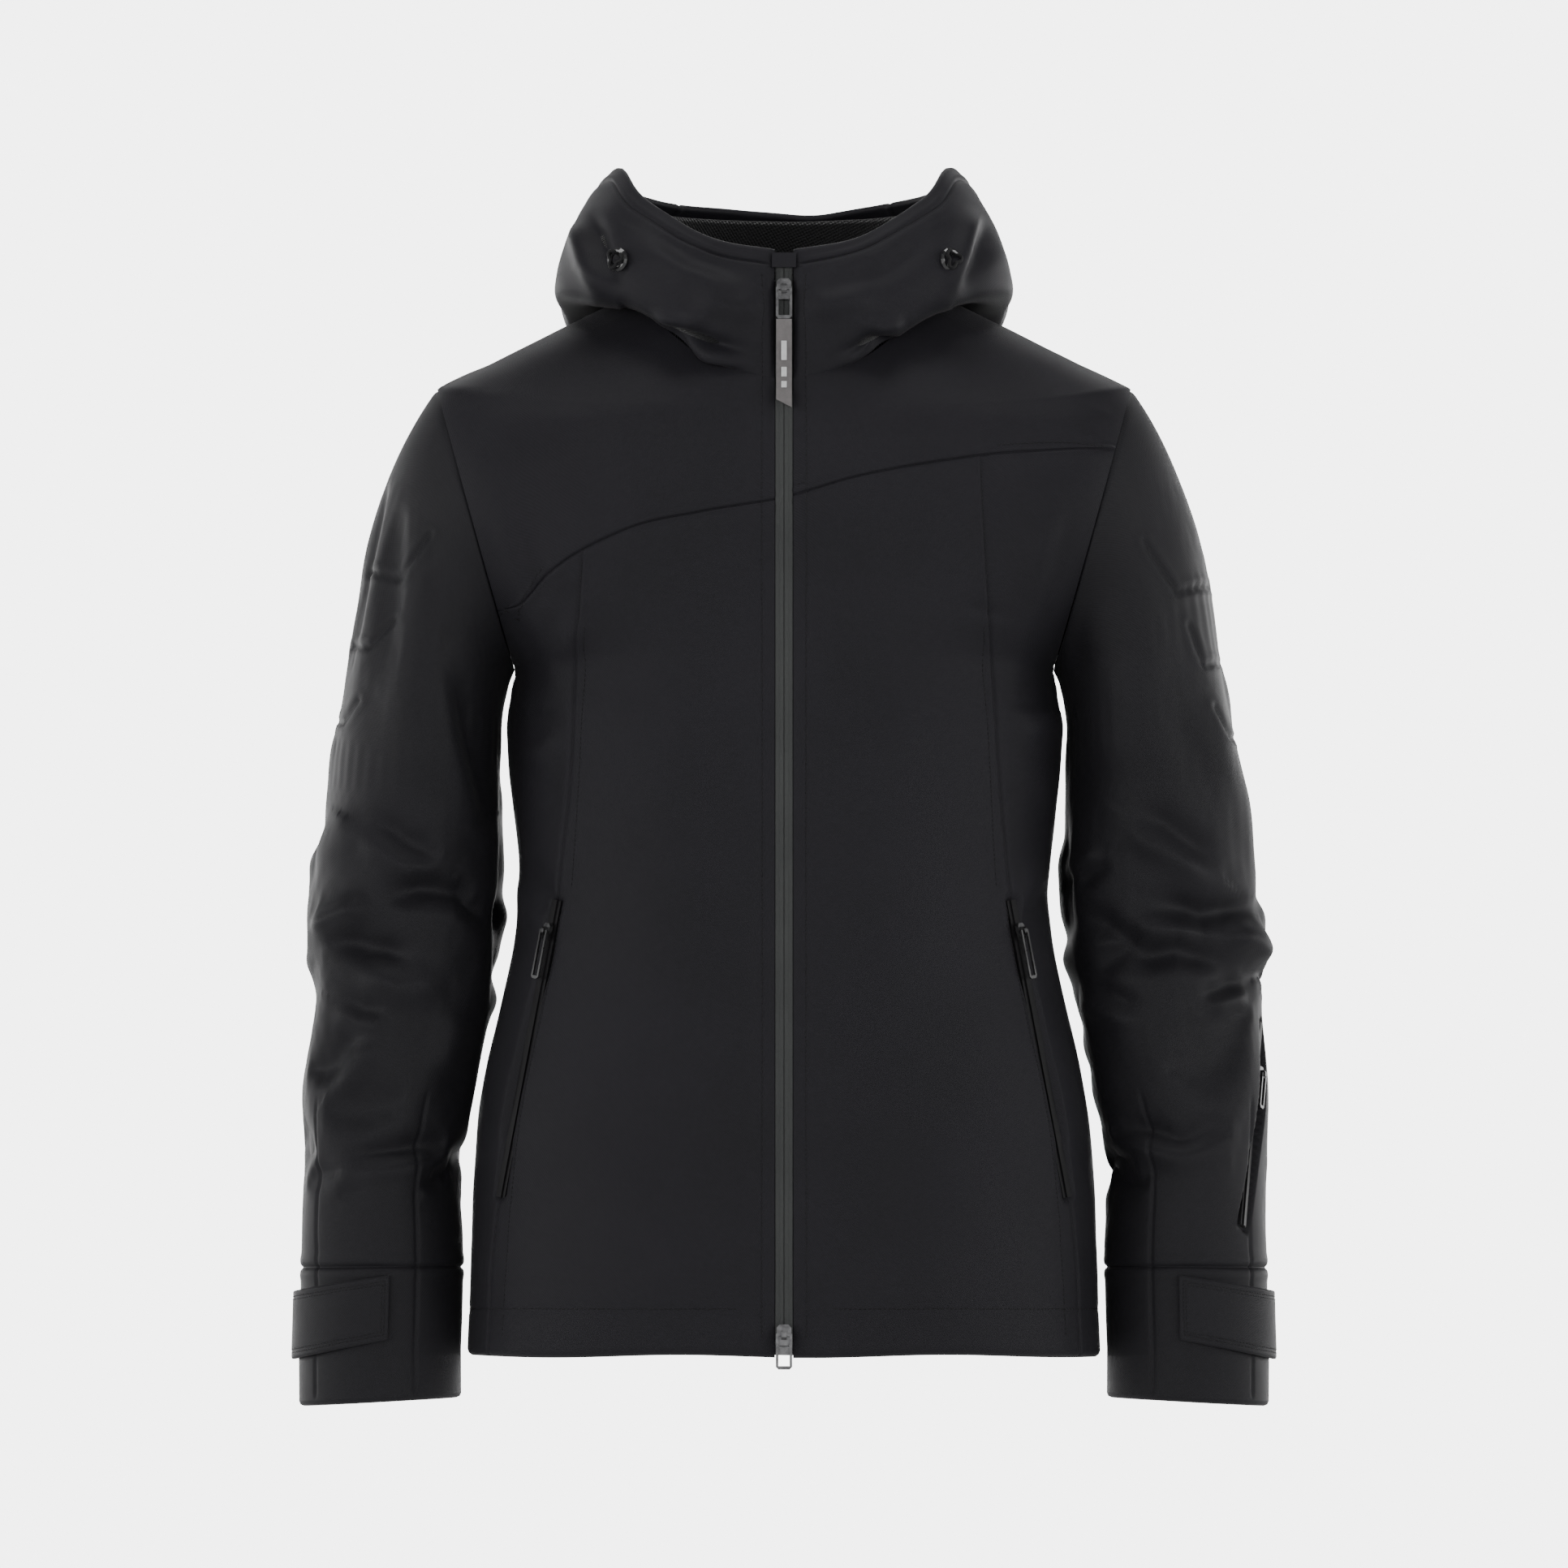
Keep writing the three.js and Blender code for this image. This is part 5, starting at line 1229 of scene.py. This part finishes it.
SEAM_ALLOWANCE = 4.2        # from a seam to the row of stitching beside it
ZIP_STITCH_X = 13.6         # from the middle of the front to the stitching beside the zip
HEM_STITCH_Z = 24
shell = Surface(torso, hood_shell)
seam_x = np.linspace(-200, 200, 240)
lines = [[(x, -90, YOKE_SEAM(x) + SEAM_ALLOWANCE) for x in half]
         for half in (seam_x[seam_x < -9], seam_x[seam_x > 9])]
for side in (-1, 1):
    heights = np.arange(6, 664, 4.0)
    lines.append([(side * ZIP_STITCH_X, zip_y(z) - 1, z) for z in heights])
    chest = np.arange(8, 276, 4.0)
    lines.append([(side * (CHEST_SEAM(z) + SEAM_ALLOWANCE), -90, z) for z in chest])
    upper = np.arange(284, YOKE_SEAM(side * 122) - 6, 4.0)
    lines.append([(side * (CHEST_SEAM(z) - SEAM_ALLOWANCE), -90, z) for z in upper])
thread = stitches("shell_stitching", lines, shell, THREAD)
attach(thread, "jacket_body")
hem_line = [body(a, HEM_STITCH_Z) for a in np.linspace(-84, 264, 400)]
hem_thread = stitches("hem_stitching", [hem_line], shell, THREAD)
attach(hem_thread, "jacket_body")

low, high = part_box("main_pull_tab")
for k, (place, tall) in enumerate(((0.36, 0.012), (0.60, 0.006), (0.74, 0.004))):
    mark = block(f"pull_mark_{k}", ((low.x + high.x) / 2, low.y + 0.0001, high.z + (low.z - high.z) * place),
                 (0.0034, 0.0008, tall), MARK)
    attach(mark, "main_pull")

looks = {
    DARK_TAPE: ["pocket_zip_left", "pocket_zip_right", "sleeve_pocket_zip"],
    ELASTIC: ["hood_cord_left", "hood_cord_right"],
    METAL: ["main_slider", "main_pull_link", "lower_slider", "lower_pull", "zip_end_box",
            "pocket_slider_left", "pocket_slider_right", "sleeve_pocket_slider", "sleeve_pocket_pull"],
    RUBBER: ["main_pull_tab"],
    GLOSS: ["hood_eyelet_left", "hood_eyelet_right", "pocket_pull_left", "pocket_pull_right"],
    LINING: ["snow_skirt", "wind_flap", "hanger_loop", "pocket_bag_left", "pocket_bag_right",
             "hook_patch_left", "hook_patch_right"],
    SHELL: ["chin_guard"],
}
for material, nodes in looks.items():
    for node in nodes:
        obj = frame["nodes"][node]
        obj.data.materials.clear()
        obj.data.materials.append(material)

# ------------------------------------------------------------------- stage
FLOOR_DROP = 0.96           # height of the hem above the floor that the wearer stands on
bpy.ops.mesh.primitive_plane_add(size=36, location=(0, 0, ORIGIN.z - FLOOR_DROP))
floor = bpy.context.object
floor.name = "floor"
floor_material, _, floor_shader = node_material("pale_floor")
floor_shader.inputs["Base Color"].default_value = (0.86, 0.86, 0.86, 1)
floor_shader.inputs["Roughness"].default_value = 0.9
floor_shader.inputs["Emission Color"].default_value = (1, 1, 1, 1)
floor_shader.inputs["Emission Strength"].default_value = 0.45
floor.data.materials.append(floor_material)

BAND_FADE = (0.155, 0.235)  # the white band round the horizon fades between these heights
BAND_LIGHT, SKY_LIGHT = 5.2, 0.14
world = bpy.data.worlds.new("studio")
bpy.context.scene.world = world
world.use_nodes = True
sky = world.node_tree.nodes["Background"]
sky.inputs["Color"].default_value = (1, 1, 1, 1)
direction = world.node_tree.nodes.new("ShaderNodeTexCoord")
height = world.node_tree.nodes.new("ShaderNodeSeparateXYZ")
band = world.node_tree.nodes.new("ShaderNodeMapRange")
band.interpolation_type = "SMOOTHSTEP"
band.inputs["From Min"].default_value, band.inputs["From Max"].default_value = BAND_FADE
band.inputs["To Min"].default_value, band.inputs["To Max"].default_value = BAND_LIGHT, SKY_LIGHT
link(world.node_tree, direction, "Generated", height, 0)
rise = math_node(world.node_tree, "ABSOLUTE", height.outputs[2])
world.node_tree.links.new(rise, band.inputs["Value"])
link(world.node_tree, band, "Result", sky, "Strength")


def area_light(name, place, target, size, power):
    data = bpy.data.lights.new(name, "AREA")
    data.shape = "RECTANGLE"
    data.size, data.size_y = size
    data.energy = power
    light = add_object(name, data)
    light.location = place
    light.rotation_mode = "QUATERNION"
    light.rotation_quaternion = (Vector(target) - Vector(place)).to_track_quat("-Z", "Y")


middle = Vector((0, ORIGIN.y, ORIGIN.z + 0.33))
area_light("key_left", (-2.8, -1.6, 1.1), middle, (0.9, 1.8), 25)
area_light("key_right", (2.8, -1.4, 1.0), middle, (0.9, 1.8), 21)
area_light("top", (0, -0.6, 2.6), middle, (1.6, 0.8), 50)
area_light("rim", (0, 2.4, 1.6), middle, (3.0, 1.0), 28)

CAMERA_DISTANCE = 5.5
EYE_LEVEL = 0.029           # height of the eye above the hem
VIEW_WIDTH = 0.98           # metres across the picture at the jacket
AIM_LEVEL = 0.352           # height above the hem that the camera looks at
camera_data = bpy.data.cameras.new("camera")
camera_data.sensor_width = 36
camera_data.lens = 36 * CAMERA_DISTANCE / VIEW_WIDTH
camera = bpy.data.objects.new("camera", camera_data)
camera.location = (0, ORIGIN.y - CAMERA_DISTANCE, ORIGIN.z + EYE_LEVEL)
camera.rotation_euler = (math.radians(90) + math.atan((AIM_LEVEL - EYE_LEVEL) / CAMERA_DISTANCE), 0, 0)
bpy.context.scene.collection.objects.link(camera)
bpy.context.scene.camera = camera
